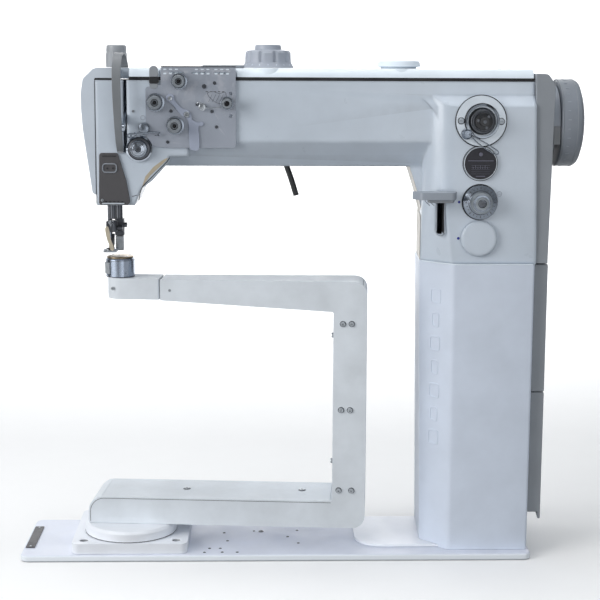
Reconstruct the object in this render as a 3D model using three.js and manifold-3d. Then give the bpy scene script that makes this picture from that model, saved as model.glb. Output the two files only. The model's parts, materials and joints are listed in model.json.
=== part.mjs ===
// A long-arm post-bed sewing machine on a raised column, with a C-shaped lower arm on a turntable.
// Millimetres, +X towards the handwheel, +Y to the back, +Z up.
// The origin is where the needle's axis meets the underside of the base plate.
import * as THREE from "three";
import { mergeVertices } from "three/addons/utils/BufferGeometryUtils.js";
import Module from "manifold-3d";

const wasm = await Module();
wasm.setup();

// ---- driving dimensions ----
const GAP = 0.3; // clearance kept between neighbouring pieces
const WALL = 8; // casting wall
const SHEET = 3; // covers and plates
const ARC_STEP = Math.PI / 9; // longest arc in one edge of a rounded corner
const ROUND = 24; // sides of a turned piece

const PLATE = { left: -101, right: 474, front: -58, back: 73, top: 8, corner: 9 };
const FOOT = { left: 277, right: 468, front: -34, back: 71, top: 11, corner: 30 };
const COLUMN = { left: 346.5, facet: 380.5, right: 470.7, front: -44.2, shoulder: -9, back: 72, top: 335 };
const FLANK = { taper: 3.6, lean: 4.8 }; // the column's left side turns in to the back and leans in to the foot
const FLANGE = { left: -44, right: 86, front: -54, back: 72, top: 20, corner: 8 };
const FLANGE_SCREW = { radius: 5, bore: 3, inset: 13, sink: 7 };

const ARM = { front: -30, back: 62, top: 534, edge: 468, bottom: 440, bevel: 24, root: 332 };
const HEAD = { left: -10.6, topLeft: -10.9, right: 30.6, bottom: 398.4 };
const UPRIGHT = { left: 347.3, backLeft: 351.8, front: -41, back: 70, right: 472.5, topRight: 467 };
const CORNER = { radius: 32, flatTo: 451 }; // the upright's front left corner, flat at its foot and round above
const BULGE = { left: 336, root: 364, top: 519, bend: 478, lip: 507 };
const COVER_TOP = 547; // top face of the arm's cover
const SHAFT = { y: 12, z: 488.2, radius: 7 }; // main shaft, along X
const LOWER_PULLEY_Z = 82;

const NEEDLE_BAR = { x: 3.5, y: 0, radius: 3.6 };
const NEEDLE_TIP = 340.4;
const PRESSER_BAR = { x: 9, y: 15, radius: 4 };
const WALKING_BAR = { x: -1.5, y: 15, radius: 2.6 };
const TAKE_UP = { x: 21.3, y: -12, z: 500, reach: 40 };

const TURN = { x: 19, y: 0, radius: 52.5, top: 32.6, angle: -0.0805 }; // turntable and the arm's rest angle
// The lower arm, in its own frame: along X from the turntable's axis, Y to the back, Z up.
const BEAM = { left: -45.6, bottom: 32.9, top: 64.1, front: -20, back: 53, corner: 17 };
const RISER = { left: 232.4, right: 269.4, corner: 14 };
const UPPER = { left: 39.2, bottomLeft: 291.6, bottomRight: 281, top: 315, backLeft: 20, backRight: 33 };
const SKIN = 4; // wall of the lower arm
const BLOCK = { left: -22, right: 38, bottom: 292, top: 315.5, front: -18, back: 18.5 };
const POST = { x: -8.1, y: -0.6, radius: 16, bore: 13, top: 336.8, plate: 339 };
const CROSS_SHAFT = { z: 303, radius: 4 };
const COVER_ANGLE = 215; // direction the bobbin cover faces, in degrees

const DIAL_X = 408; // the gauge, the dial and the cap stand in one column on the upright
const TENSION = [
  { name: "tension_knob_top", x: 80.5, z: 533, radius: 8.8 },
  { name: "tension_knob_left", x: 54.8, z: 510.3, radius: 9.9 },
  { name: "tension_knob_middle", x: 75.8, z: 485.6, radius: 9.8 },
  { name: "tension_knob_right", x: 132.2, z: 509.7, radius: 7.1 },
];

// ---- solids ----
function toSolid(geometry) {
  const bare = geometry.index ? geometry.toNonIndexed() : geometry.clone();
  bare.deleteAttribute("normal");
  bare.deleteAttribute("uv");
  const merged = mergeVertices(bare, 1e-4);
  return new wasm.Manifold(
    new wasm.Mesh({
      numProp: 3,
      vertProperties: merged.attributes.position.array,
      triVerts: new Uint32Array(merged.index.array),
    }),
  );
}

function toGeometry(solid) {
  const { vertProperties, triVerts } = solid.getMesh();
  const geometry = new THREE.BufferGeometry();
  geometry.setAttribute("position", new THREE.BufferAttribute(vertProperties, 3));
  geometry.setIndex(new THREE.BufferAttribute(triVerts, 1));
  return geometry;
}

const join = (first, ...rest) => rest.reduce((sum, next) => sum.add(next), first);
const cut = (first, ...rest) => rest.reduce((sum, next) => sum.subtract(next), first);

// A closed outline of [a, b] corners; a third number rounds that corner with an arc.
function outline(corners) {
  const points = [];
  corners.forEach(([a, b, radius = 0], i) => {
    const here = new THREE.Vector2(a, b);
    if (!radius) {
      points.push(here);
      return;
    }
    const before = new THREE.Vector2(...corners.at(i - 1).slice(0, 2)).sub(here).normalize();
    const after = new THREE.Vector2(...corners[(i + 1) % corners.length].slice(0, 2)).sub(here).normalize();
    const half = Math.acos(before.dot(after)) / 2;
    const middle = before.clone().add(after).normalize();
    const centre = here.clone().addScaledVector(middle, radius / Math.sin(half));
    const start = here.clone().addScaledVector(before, radius / Math.tan(half)).sub(centre);
    const sweep = Math.PI - 2 * half;
    const turn = Math.sign(-before.cross(after)) * sweep;
    const steps = Math.max(2, Math.ceil(sweep / ARC_STEP));
    for (let k = 0; k <= steps; k += 1) {
      points.push(start.clone().rotateAround(new THREE.Vector2(), (turn * k) / steps).add(centre));
    }
  });
  return new THREE.Shape(points);
}

function extrude(corners, depth) {
  const shape = corners instanceof THREE.Shape ? corners : outline(corners);
  return new THREE.ExtrudeGeometry(shape, { depth, bevelEnabled: false, curveSegments: 10 });
}

// Prisms: an outline in one plane, drawn out along the axis that is left.
const alongZ = (corners, from, to) => toSolid(extrude(corners, to - from).translate(0, 0, from));
const alongY = (corners, from, to) =>
  toSolid(
    extrude(corners, to - from)
      .rotateX(Math.PI / 2)
      .translate(0, to, 0),
  );
const YZ_TO_X = new THREE.Matrix4().set(0, 0, 1, 0, 1, 0, 0, 0, 0, 1, 0, 0, 0, 0, 0, 1);
const alongX = (corners, from, to) =>
  toSolid(
    extrude(corners, to - from)
      .applyMatrix4(YZ_TO_X)
      .translate(from, 0, 0),
  );

const box = ([x0, y0, z0], [x1, y1, z1]) =>
  toSolid(
    new THREE.BoxGeometry(x1 - x0, y1 - y0, z1 - z0).translate((x0 + x1) / 2, (y0 + y1) / 2, (z0 + z1) / 2),
  );
const rectangle = (x0, y0, x1, y1, radius = 0) => [
  [x0, y0, radius],
  [x1, y0, radius],
  [x1, y1, radius],
  [x0, y1, radius],
];

// A turned piece: [radius, distance along the axis] pairs that start and end on the axis.
function turned(axis, [x, y, z], profile, sides = ROUND) {
  const geometry = new THREE.LatheGeometry(
    profile.map(([radius, along]) => new THREE.Vector2(radius, along)),
    sides,
  );
  if (axis === "z") geometry.rotateX(Math.PI / 2);
  if (axis === "x") geometry.rotateZ(-Math.PI / 2);
  return toSolid(geometry.translate(x, y, z));
}
const cylinder = (axis, at, radius, from, to, sides = ROUND) =>
  turned(
    axis,
    at,
    [
      [0, from],
      [radius, from],
      [radius, to],
      [0, to],
    ],
    sides,
  );
const tube = (axis, at, outer, inner, from, to, sides = ROUND) =>
  cut(cylinder(axis, at, outer, from, to, sides), cylinder(axis, at, inner, from - 1, to + 1, sides));

// A round rod along a path of points.
function rod(points, radius, sides = 5) {
  const path = new THREE.CatmullRomCurve3(points.map((p) => new THREE.Vector3(...p)));
  const circle = new THREE.Shape(new THREE.Path().absarc(0, 0, radius, 0, Math.PI * 2).getPoints(sides).slice(0, -1));
  return toSolid(
    new THREE.ExtrudeGeometry(circle, { steps: points.length * 2, extrudePath: path, bevelEnabled: false }),
  );
}

// ---- finishes ----
const finish = (color, roughness, metalness = 0) => ({ color, roughness, metalness });
const FINISH = {
  enamel: finish(0xe1e7f2, 0.45),
  armPaint: finish(0xc3cbd4, 0.6),
  casting: finish(0xbac4d0, 0.4),
  cover: finish(0xdee9f2, 0.35),
  column: finish(0xbcc4d2, 0.45),
  darkPlastic: finish(0x787d85, 0.55),
  greyPlastic: finish(0x828a94, 0.5),
  plate: finish(0x9096a4, 0.45, 0.4),
  black: finish(0x16171a, 0.45),
  insert: finish(0x524f54, 0.6),
  chrome: finish(0xb8c0ca, 0.12, 1),
  steel: finish(0x9aa1aa, 0.3, 1),
  brass: finish(0x8a7c66, 0.3, 1),
  belt: finish(0x222326, 0.8),
};

const machine = new THREE.Group();
const lowerArm = new THREE.Group();
lowerArm.position.set(TURN.x, TURN.y, 0);
lowerArm.rotation.z = TURN.angle;
machine.add(lowerArm);

function add(parent, name, look, solid) {
  const mesh = new THREE.Mesh(toGeometry(solid), new THREE.MeshStandardMaterial(look));
  mesh.name = name;
  parent.add(mesh);
}

// A flat plan drawn upwards that shifts by (dx, dy) for each millimetre above or below the height still.
function leaning(plan, low, high, dx, dy, still) {
  const shape = new THREE.Shape(plan.map(([x, y]) => new THREE.Vector2(x, y)));
  const geometry = new THREE.ExtrudeGeometry(shape, { depth: high - low, bevelEnabled: false });
  geometry.translate(0, 0, low - still);
  geometry.applyMatrix4(new THREE.Matrix4().makeShear(0, 0, 0, 0, dx, dy));
  geometry.translate(0, 0, still);
  return toSolid(geometry);
}

// ---- base ----
function basePlate() {
  const { left, right, front, back, corner, top } = PLATE;
  return alongZ(rectangle(left, front, right, back, corner), 0, top);
}

function typePlate() {
  return box([PLATE.left + 2.5, -32, PLATE.top + GAP], [PLATE.left + 13, 43, PLATE.top + 1.2]);
}

function footPlan(grow) {
  const { left, right, front, back, corner } = FOOT;
  return [
    [left - grow, front - grow, corner],
    [right + grow, front - grow],
    [right + grow, back + grow],
    [left - grow, back + grow, 6],
  ];
}

function columnFoot() {
  return alongZ(footPlan(0), PLATE.top + GAP, FOOT.top);
}

function turntableFlange() {
  const { left, right, front, back, corner, top } = FLANGE;
  let body = alongZ(rectangle(left, front, right, back, corner), PLATE.top + GAP, top);
  const { radius, bore, inset, sink } = FLANGE_SCREW;
  for (const x of [left + inset, right - inset]) {
    for (const y of [front + inset, back - inset]) {
      body = cut(
        body,
        cylinder("z", [x, y, 0], radius, top - sink, top + 1, 14),
        cylinder("z", [x, y, 0], bore, 0, top + 1, 8),
      );
    }
  }
  return cut(body, cylinder("z", [TURN.x, TURN.y, 0], 14.5, 0, top + 1, 24));
}

// ---- column ----
const columnPlan = (inset) => [
  [COLUMN.left + inset, COLUMN.back],
  [COLUMN.left + inset, COLUMN.shoulder + inset * 0.4, 7],
  [COLUMN.facet + inset * 0.4, COLUMN.front + inset, 9],
  [COLUMN.right - inset, COLUMN.front + inset, 3],
  [COLUMN.right - inset, COLUMN.back],
];

// Everything to the right of the column's left side.
function flankSide(inset) {
  const left = COLUMN.left + inset;
  const plan = [
    [left, -80],
    [600, -80],
    [600, 100],
    [left + (FLANK.taper * (100 - COLUMN.shoulder)) / (COLUMN.back - COLUMN.shoulder), 100],
    [left, COLUMN.shoulder],
  ];
  const height = COLUMN.top - PLATE.top;
  return leaning(plan, -1, COLUMN.top + 2, -FLANK.lean / height, 0, COLUMN.top);
}

function columnCover() {
  const inner = columnPlan(SHEET);
  inner[0][1] = COLUMN.back + 1;
  inner[4][1] = COLUMN.back + 1;
  return cut(
    alongZ(columnPlan(0), PLATE.top + GAP, COLUMN.top).intersect(flankSide(0)),
    alongZ(inner, 0, COLUMN.top + 1).intersect(flankSide(SHEET)),
    alongZ(footPlan(GAP), 0, FOOT.top + GAP),
    cylinder("x", [0, SHAFT.y, LOWER_PULLEY_Z], 6.6, 460, 480, 16),
  );
}

function columnBackCover() {
  const low = PLATE.top + 6;
  return box([COLUMN.left + 13, COLUMN.back - 2, low], [COLUMN.right - 4, COLUMN.back, COLUMN.top - 3]);
}

function columnFrame() {
  const plan = (inset) => [
    [361 + inset, 62 - inset, 6],
    [361 + inset, -12 + inset * 0.4],
    [379 + inset * 0.4, -30 + inset],
    [462 - inset, -30 + inset, 6],
    [462 - inset, 62 - inset, 6],
  ];
  return cut(
    alongZ(plan(0), FOOT.top + GAP, 334),
    alongZ(plan(WALL), 0, 340),
    box([440, -12, 30], [470, 36, 300]),
    box([380, 40, 60], [440, 70, 280]),
  );
}

// ---- arm and upright ----
const armSection = (inset) => [
  [ARM.front + inset, ARM.top],
  [ARM.front + inset, ARM.edge + inset * 0.4],
  [ARM.front + ARM.bevel + inset * 0.4, ARM.bottom + inset],
  [ARM.back - ARM.bevel - inset * 0.4, ARM.bottom + inset],
  [ARM.back - inset, ARM.edge + inset * 0.4],
  [ARM.back - inset, ARM.top],
];

const headFront = () => [
  [HEAD.topLeft, ARM.top],
  [HEAD.left, HEAD.bottom],
  [HEAD.right, HEAD.bottom],
  [34, 406],
  [37.9, 416.5, 4],
  [50, 425.3],
  [65.4, 442.7],
  [68.8, 452],
  [90, 452],
  [90, ARM.top],
];

function cornerArc(inset) {
  const { left, front } = UPRIGHT;
  const radius = CORNER.radius - inset;
  return Array.from({ length: 7 }, (_, k) => {
    const angle = Math.PI * (1 + k / 12);
    return [
      left + CORNER.radius + radius * Math.cos(angle),
      front + CORNER.radius + radius * Math.sin(angle),
    ];
  });
}

const uprightPlan = (inset) => [
  [UPRIGHT.backLeft + inset, UPRIGHT.back - inset],
  ...cornerArc(inset),
  [UPRIGHT.right - inset, UPRIGHT.front + inset, 2],
  [UPRIGHT.right - inset, UPRIGHT.back - inset],
];

// What is cut from the round corner, so that it starts flat above the column's own flat corner.
function cornerWedge(inset) {
  const { left, front } = UPRIGHT;
  const { radius, flatTo } = CORNER;
  const reach = 30;
  const shift = inset * Math.SQRT1_2;
  const plan = [
    [left - reach, front + radius + reach],
    [left + radius + reach, front - reach],
    [left + radius + reach - 60, front - reach - 60],
    [left - reach - 60, front + radius + reach - 60],
  ].map(([x, y]) => [x + shift, y + shift]);
  const grow = ((1 - Math.SQRT1_2) * radius * Math.SQRT1_2) / (flatTo - COLUMN.top);
  return leaning(plan, COLUMN.top - 5, flatTo, -grow, -grow, COLUMN.top);
}

function uprightBlock() {
  const tall = alongZ(uprightPlan(0), COLUMN.top + GAP, BULGE.top);
  const side = [
    [UPRIGHT.left - 1, COLUMN.top],
    [UPRIGHT.right, COLUMN.top],
    [UPRIGHT.topRight, ARM.top],
    [UPRIGHT.left - 1, ARM.top],
  ];
  const lip = [
    [UPRIGHT.front - 1, BULGE.lip - 1],
    [ARM.front, BULGE.top + 1],
    [UPRIGHT.front - 1, BULGE.top + 1],
  ];
  return cut(tall.intersect(alongY(side, -60, 90)), alongX(lip, 300, 500), cornerWedge(0));
}

// The upright stands proud of the arm; its left edge sweeps up and away in a curve.
function bulge() {
  const sweep = new THREE.Shape();
  sweep.moveTo(BULGE.left, BULGE.top);
  sweep.bezierCurveTo(BULGE.left + 14, BULGE.top - 4, BULGE.root, 498, BULGE.root, BULGE.bend);
  sweep.lineTo(400, BULGE.bend);
  sweep.lineTo(400, BULGE.top);
  sweep.closePath();
  const wedge = [
    [ARM.front + 1, BULGE.bend],
    [ARM.front - 5, BULGE.bend],
    [ARM.front - 5, BULGE.lip],
    [ARM.front + 1, BULGE.top],
  ];
  return alongY(sweep, -45, ARM.front + 1).intersect(alongX(wedge, 300, 400));
}

function armRoot() {
  const web = [
    [ARM.root - 40, ARM.bottom],
    [ARM.root + 2, ARM.bottom],
    [343, 413],
    [350, 385],
    [UPRIGHT.left + 20, 380],
    [UPRIGHT.left + 20, ARM.top],
    [ARM.root - 40, ARM.top],
  ];
  return alongY(web, ARM.front + ARM.bevel, ARM.back - ARM.bevel);
}

function armCasting() {
  const arm = alongX(armSection(0), 60, UPRIGHT.topRight);
  const head = alongY(headFront(), ARM.front, ARM.back);
  const rear = box([UPRIGHT.left + 12, 0, 430], [UPRIGHT.topRight, UPRIGHT.back, ARM.top]);
  const outer = join(arm, head, uprightBlock(), bulge(), armRoot(), rear);
  const slot = [
    [362.4, 367.3, 3.6],
    [369.8, 367.3, 3.6],
    [369.8, 415, 3],
    [362.4, 415, 3],
  ];
  return cut(
    outer,
    alongX(armSection(WALL), 40, UPRIGHT.topRight - WALL),
    cut(alongZ(uprightPlan(WALL), 300, BULGE.lip), cornerWedge(WALL)),
    box([-4.6, -22, HEAD.bottom - 1], [23, 52, ARM.top + 1]),
    box([22, -22, 455], [61, 52, ARM.top + 1]),
    box([19.4, -40, 456], [23.4, -10, ARM.top + 1]),
    alongY(slot, -60, 10),
    cylinder("x", [0, SHAFT.y, SHAFT.z], SHAFT.radius + 0.6, 440, 500, 24),
    cylinder("y", [DIAL_X, 0, 403.7], 5, -60, -20, 16),
    cylinder("y", [DIAL_X, 0, 491.8], 5, -60, -20, 16),
  );
}

function armBackCover() {
  return alongY(rectangle(110, 474, 320, 526, 6), ARM.back + GAP, ARM.back + GAP + SHEET);
}

function topCover() {
  const low = ARM.top + 1.6;
  const section = [
    [ARM.front + 0.5, low],
    [ARM.front + 2, low + 5],
    [ARM.front + 8, COVER_TOP],
    [ARM.back - 8, COVER_TOP],
    [ARM.back - 0.5, low + 5],
    [ARM.back - 0.5, low],
  ];
  const hollow = [
    [ARM.front + 5, low - 1],
    [ARM.front + 10, COVER_TOP - 3],
    [ARM.back - 10, COVER_TOP - 3],
    [ARM.back - 5, low - 1],
  ];
  return cut(
    alongX(section, 26, UPRIGHT.topRight - 1),
    alongX(hollow, 29, UPRIGHT.topRight - 4),
    box([58, -34, low - 1], [143, ARM.front + 6, COVER_TOP + 1]),
    cylinder("z", [176.5, 12, 0], 6.4, 500, 560, 16),
  );
}

function headCover() {
  const shape = [
    [-9, COVER_TOP],
    [-13, 545.6, 3],
    [-24, 535, 6],
    [-26.2, 520, 10],
    [-26.2, 503],
    [-24.6, 480],
    [-20.7, 451],
    [-15.4, 412, 3],
    [HEAD.left - 1.2, 409.6],
    [HEAD.topLeft - 0.6, ARM.top + 1.2],
    [24.5, ARM.top + 1.2],
    [24.5, COVER_TOP, 2],
  ];
  return cut(
    alongY(shape, ARM.front + 1, ARM.back - 1),
    alongY(
      [
        [-14, 531],
        [-20, 531],
        [-22, 525],
        [-22, 505],
        [-20.6, 480],
        [-17.4, 456],
        [-14, 430],
        [-8, 430],
        [-8, 531],
      ],
      ARM.front + 5,
      ARM.back - 5,
    ),
    box([11.5, -40, 520], [26, -4, 560]),
    cylinder("z", [8.9, 12, 0], 5, 530, 560, 16),
    box([-40, -10, HEAD.bottom], [-8, 40, 430]),
  );
}

function faceInsert() {
  const shape = [
    [-7, 455.6, 3],
    [-8.2, HEAD.bottom + 0.6, 3],
    [26.4, HEAD.bottom + 0.6, 4],
    [22, 425, 12],
    [13, 455.6, 3],
  ];
  return alongY(shape, ARM.front - GAP - 2.5, ARM.front - GAP);
}

// ---- right side ----
function sideCover() {
  const shape = [
    [UPRIGHT.right + GAP, COLUMN.top + 0.5],
    [485.4, COLUMN.top + 0.5],
    [488.3, 531, 12],
    [480, 542.6, 6],
    [UPRIGHT.topRight + GAP, 542.6],
    [UPRIGHT.topRight + GAP, ARM.top],
  ];
  const body = alongY(shape, UPRIGHT.front + 3, UPRIGHT.back - 2);
  return cut(
    body,
    box([470, UPRIGHT.front + 7, COLUMN.top], [482.5, UPRIGHT.back - 6, 532]),
    cylinder("x", [0, SHAFT.y, SHAFT.z], SHAFT.radius + 0.6, 460, 500, 24),
  );
}

function beltCover(from, to) {
  const outer = box([COLUMN.right + GAP + 0.6, -34, from], [487, 58, to]);
  return cut(outer, box([470, -30, from - 1], [483.5, 54, to + 1]));
}

function lowerBeltCover() {
  const tab = [
    [-34, 49],
    [-20, 49],
    [-34, 41],
  ];
  const floor = box([COLUMN.right + GAP + 0.6, -34, 49], [487, 58, 52]);
  return join(beltCover(49, 188.6), floor, alongX(tab, 483.7, 487));
}

function handwheelGuard() {
  const at = [0, SHAFT.y, SHAFT.z];
  const cup = tube("x", at, 42.5, 38.5, 488.8, 496.6, 28);
  const disc = tube("x", at, 42.5, 12, 488.8, 491, 28);
  return cut(join(cup, disc), box([491.4, -40, 440], [504, 64, 486]));
}

function handwheel() {
  const at = [0, SHAFT.y, SHAFT.z];
  const profile = [
    [0, 497.4],
    [46.5, 497.4],
    [48.3, 499.5],
    [48.6, 516],
    [46, 520.5],
    [36, 524],
    [24, 525.5],
    [22, 523.5],
    [0, 523.5],
  ];
  const socket = cylinder("x", at, SHAFT.radius + GAP, 490, 510, 20);
  return cut(turned("x", at, profile, 36), socket);
}

function mainShaft() {
  const at = [0, SHAFT.y, SHAFT.z];
  const crank = cylinder("x", at, 17, 34, 42, 24);
  const weight = cylinder("x", [0, SHAFT.y, SHAFT.z + 11], 5, 28, 34, 16);
  return join(cylinder("x", at, SHAFT.radius, 34, 509.5, 20), crank, weight);
}

function drivePulley() {
  const at = [0, SHAFT.y, SHAFT.z];
  return cut(
    join(cylinder("x", at, 20, 474.5, 481), cylinder("x", at, 22, 473.5, 474.5)),
    cylinder("x", at, SHAFT.radius + GAP, 470, 490, 20),
  );
}

function lowerPulley() {
  const at = [0, SHAFT.y, LOWER_PULLEY_Z];
  return join(
    cylinder("x", at, 20, 474.5, 481),
    cylinder("x", at, 22, 473.5, 474.5),
    cylinder("x", at, 6, 430, 474.5, 16),
  );
}

function timingBelt() {
  const loop = (radius) => {
    const shape = new THREE.Shape();
    shape.absarc(SHAFT.y, SHAFT.z, radius, 0, Math.PI);
    shape.absarc(SHAFT.y, LOWER_PULLEY_Z, radius, Math.PI, Math.PI * 2);
    shape.closePath();
    return shape;
  };
  return cut(alongX(loop(22.2), 475.5, 480.5), alongX(loop(20.5), 470, 490));
}

// ---- top of the arm ----
function strokeDial() {
  const profile = [
    [0, COVER_TOP - 7],
    [6, COVER_TOP - 7],
    [6, COVER_TOP + GAP],
    [28.6, COVER_TOP + GAP],
    [28.6, COVER_TOP + 3],
    [25.5, COVER_TOP + 4],
    [24, COVER_TOP + 18],
    [14, COVER_TOP + 20],
    [13, COVER_TOP + 26],
    [0, COVER_TOP + 26],
  ];
  const dial = turned("z", [176.5, 12, 0], profile, 32);
  const flute = (k) => {
    const angle = (k * Math.PI) / 4;
    return cylinder("z", [176.5 + 29 * Math.cos(angle), 12 + 29 * Math.sin(angle), 0], 6, COVER_TOP + 4.2, 600, 8);
  };
  return cut(dial, ...Array.from({ length: 8 }, (_, k) => flute(k)));
}

function pressureKnob() {
  const profile = [
    [0, COVER_TOP - 9],
    [4.5, COVER_TOP - 9],
    [4.5, COVER_TOP + GAP],
    [11.8, COVER_TOP + GAP],
    [11.8, COVER_TOP + 17],
    [10.2, COVER_TOP + 20],
    [8, COVER_TOP + 24],
    [0, COVER_TOP + 25],
  ];
  return turned("z", [8.9, 12, 0], profile, 24);
}

function fillerCap() {
  const profile = [
    [0, COVER_TOP + GAP],
    [20, COVER_TOP + GAP],
    [20, COVER_TOP + 2],
    [25.4, COVER_TOP + 2.5],
    [23, COVER_TOP + 8.5],
    [18, COVER_TOP + 10],
    [0, COVER_TOP + 10.5],
  ];
  return turned("z", [321.5, 12, 0], profile, 32);
}

// ---- thread path ----
const FACE = ARM.front - GAP; // where pieces on the arm's front begin
const PLATE_FRONT = FACE - SHEET;

function tensionPlate() {
  const shape = [
    [44, 472, 6],
    [52, 463, 4],
    [70, 461.3],
    [141.5, 461.3, 3],
    [141.5, 549, 3],
    [60.5, 548, 2],
    [60.5, 529],
    [57, 529],
    [57, 548, 4],
    [48.5, 548, 4],
    [48.5, 527],
    [44, 527, 3],
  ];
  const holes = [
    [107.5, 527.6],
    [118.6, 531.2],
    [136, 519.8],
    [99.8, 508.4],
    [115.7, 500.7],
    [136, 495.8],
    [71.4, 501],
    [120.6, 484],
    [67.5, 467.6],
  ];
  const drill = holes.map(([x, z]) => cylinder("y", [x, 0, z], 2, -40, -20, 6));
  const slots = [0, 1, 2].map((k) => box([70 + 24 * k, -40, 541], [86 + 24 * k, -20, 543]));
  const clearance = cylinder("y", [36.3, 0, 460.4], 14.8, -40, -20, 24);
  return cut(alongY(shape, PLATE_FRONT, FACE), clearance, ...drill, ...slots);
}

// A pair of tension discs on a stud, with a knurled nut in front of them.
function tensionKnob(x, z, radius, base = PLATE_FRONT) {
  const disc = base - 2.6;
  const nut = radius * 0.72;
  const profile = [
    [0, disc - 18],
    [nut, disc - 17],
    [nut, disc - 9],
    [nut * 0.55, disc - 8.5],
    [radius, disc - 3],
    [radius, disc],
    [2.6, disc],
    [2.6, base - GAP],
    [0, base - GAP],
  ];
  return turned("y", [x, 0, z], profile, 20);
}

function checkSpring() {
  const y = FACE - 6;
  const hub = cylinder("y", [42.3, 0, 482.3], 6, y - 3, FACE - SHEET - GAP, 20);
  return join(hub, cylinder("x", [0, y, 479], 1.2, 23.6, 60, 8));
}

function releaseLever() {
  const shape = [
    [66.5, 516],
    [71, 520.4, 3],
    [75, 517, 2],
    [91.5, 501, 4],
    [99.5, 463, 2],
    [104, 463],
    [104, 459, 1],
    [93.5, 459, 3],
    [87.5, 495, 3],
    [68, 511.5, 3],
  ];
  return alongY(shape, PLATE_FRONT - GAP - 1.9, PLATE_FRONT - GAP);
}

// The guard is a bowed strip in front of the lever that takes up the thread.
function takeUpGuard() {
  const bow = (inset) => {
    const curve = new THREE.CubicBezierCurve(
      new THREE.Vector2(FACE, 456 + inset),
      new THREE.Vector2(-66 + inset * 1.6, 476),
      new THREE.Vector2(-66 + inset * 1.6, 564 - inset),
      new THREE.Vector2(-14, 564 - inset),
    );
    return curve.getPoints(14);
  };
  const outer = bow(0);
  const inner = bow(3).reverse();
  const strip = new THREE.Shape([...outer, ...inner]);
  const foot = box([13, FACE - 3.2, 455.5], [19, FACE, 466]);
  const post = box([13, -19, COVER_TOP + GAP], [19, -14, 563]);
  return join(alongX(strip, 12.8, 19.3), foot, post);
}

function takeUpLever() {
  const { x, y, z, reach } = TAKE_UP;
  const tip = y - reach;
  const shape = [
    [y + 8, z + 6, 4],
    [y + 8, z - 8, 4],
    [y - 6, z - 7],
    [tip - 1, z - 20, 2.5],
    [tip - 3, z - 13, 2.5],
    [y - 6, z + 5],
  ];
  const eye = cylinder("x", [0, tip + 2.4, z - 16], 1.2, x - 4, x + 4, 8);
  return cut(alongX(shape, x - 1.3, x + 1.3), eye);
}

// ---- needle and feet ----
function needleBar() {
  return cylinder("z", [NEEDLE_BAR.x, NEEDLE_BAR.y, 0], NEEDLE_BAR.radius, 380.3, 470, 20);
}

function needleClamp() {
  const body = alongZ(rectangle(-3.4, -5, 9.5, 5, 2), 366, 380);
  const screw = cylinder("x", [0, 0, 370], 3, 9, 15, 12);
  return join(body, screw);
}

function needle() {
  const profile = [
    [0, NEEDLE_TIP],
    [0.8, NEEDLE_TIP + 5],
    [0.9, 358],
    [1.2, 359],
    [1.2, 365.7],
    [0, 365.7],
  ];
  return turned("z", [0, 0, 0], profile, 10);
}

function presserBar() {
  return cylinder("z", [PRESSER_BAR.x, PRESSER_BAR.y, 0], PRESSER_BAR.radius, 360, 470, 20);
}

function presserFoot() {
  const { x, y } = PRESSER_BAR;
  const sole = box([-7, -9, 343.4], [8, 19.5, 346]);
  const gate = box([-3.4, -6, 342], [4.2, 12, 348]);
  const shank = box([x - 4, y - 4.5, 343.4], [x + 5, y + 4.5, 359.7]);
  return join(cut(sole, gate), shank);
}

function walkingFoot() {
  const { x, y, radius } = WALKING_BAR;
  const bar = cylinder("z", [x, y, 0], radius, 352, 470, 16);
  const side = [
    [y + 2.6, 350],
    [y + 2.6, 362],
    [y - 2.6, 362],
    [6.2, 351.5],
    [5.6, 344.6],
    [9, 344.6],
    [10, 348.6],
    [y - 2, 350],
  ];
  return join(bar, alongX(side, x - 0.6, 3.6));
}

// ---- front of the upright ----
const UPRIGHT_FACE = UPRIGHT.front - GAP;

function winderPlate() {
  const ring = cylinder("y", [407.3, 0, 491.8], 27.2, UPRIGHT_FACE - 3, UPRIGHT_FACE, 32);
  return cut(ring, cylinder("y", [DIAL_X, 0, 491.8], 6.5, -60, -30, 16));
}

function winderSpindle() {
  const base = UPRIGHT_FACE - 3 - GAP;
  const profile = [
    [0, base - 17],
    [2.6, base - 16],
    [2.6, base - 8],
    [13, base - 7],
    [14.8, base - 2],
    [14.8, base],
    [4, base],
    [4, -30],
    [0, -30],
  ];
  return turned("y", [DIAL_X, 0, 491.8], profile, 24);
}

function winderLever() {
  const base = UPRIGHT_FACE - 3 - GAP;
  const hub = cylinder("y", [392, 0, 478], 5, base - 5, base, 16);
  const arm = alongY(
    [
      [389, 475],
      [391, 471],
      [422, 466, 3],
      [428, 478, 3],
      [423, 478],
      [419, 470.5],
      [396, 476],
      [395, 480],
    ],
    base - 4,
    base - 1.6,
  );
  return join(hub, arm);
}

function oilGauge() {
  const rim = cylinder("y", [407.5, 0, 446], 18.2, UPRIGHT_FACE - 3.5, UPRIGHT_FACE, 24);
  return cut(rim, cylinder("y", [407.5, 0, 446], 15.8, UPRIGHT_FACE - 5, UPRIGHT_FACE - 2, 24));
}

function stitchDial() {
  const profile = [
    [0, -62],
    [9.6, -61],
    [9.6, -52],
    [18.8, -47],
    [18.8, UPRIGHT_FACE],
    [4.4, UPRIGHT_FACE],
    [4.4, -30],
    [0, -30],
  ];
  return turned("y", [DIAL_X, 0, 403.7], profile, 28);
}

function blankCap() {
  const profile = [
    [0, UPRIGHT_FACE - 5],
    [18.6, UPRIGHT_FACE - 5],
    [20, UPRIGHT_FACE - 3.6],
    [20, UPRIGHT_FACE - 1.4],
    [16, UPRIGHT_FACE],
    [0, UPRIGHT_FACE],
  ];
  return turned("y", [DIAL_X, 0, 363.8], profile, 32);
}

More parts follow.
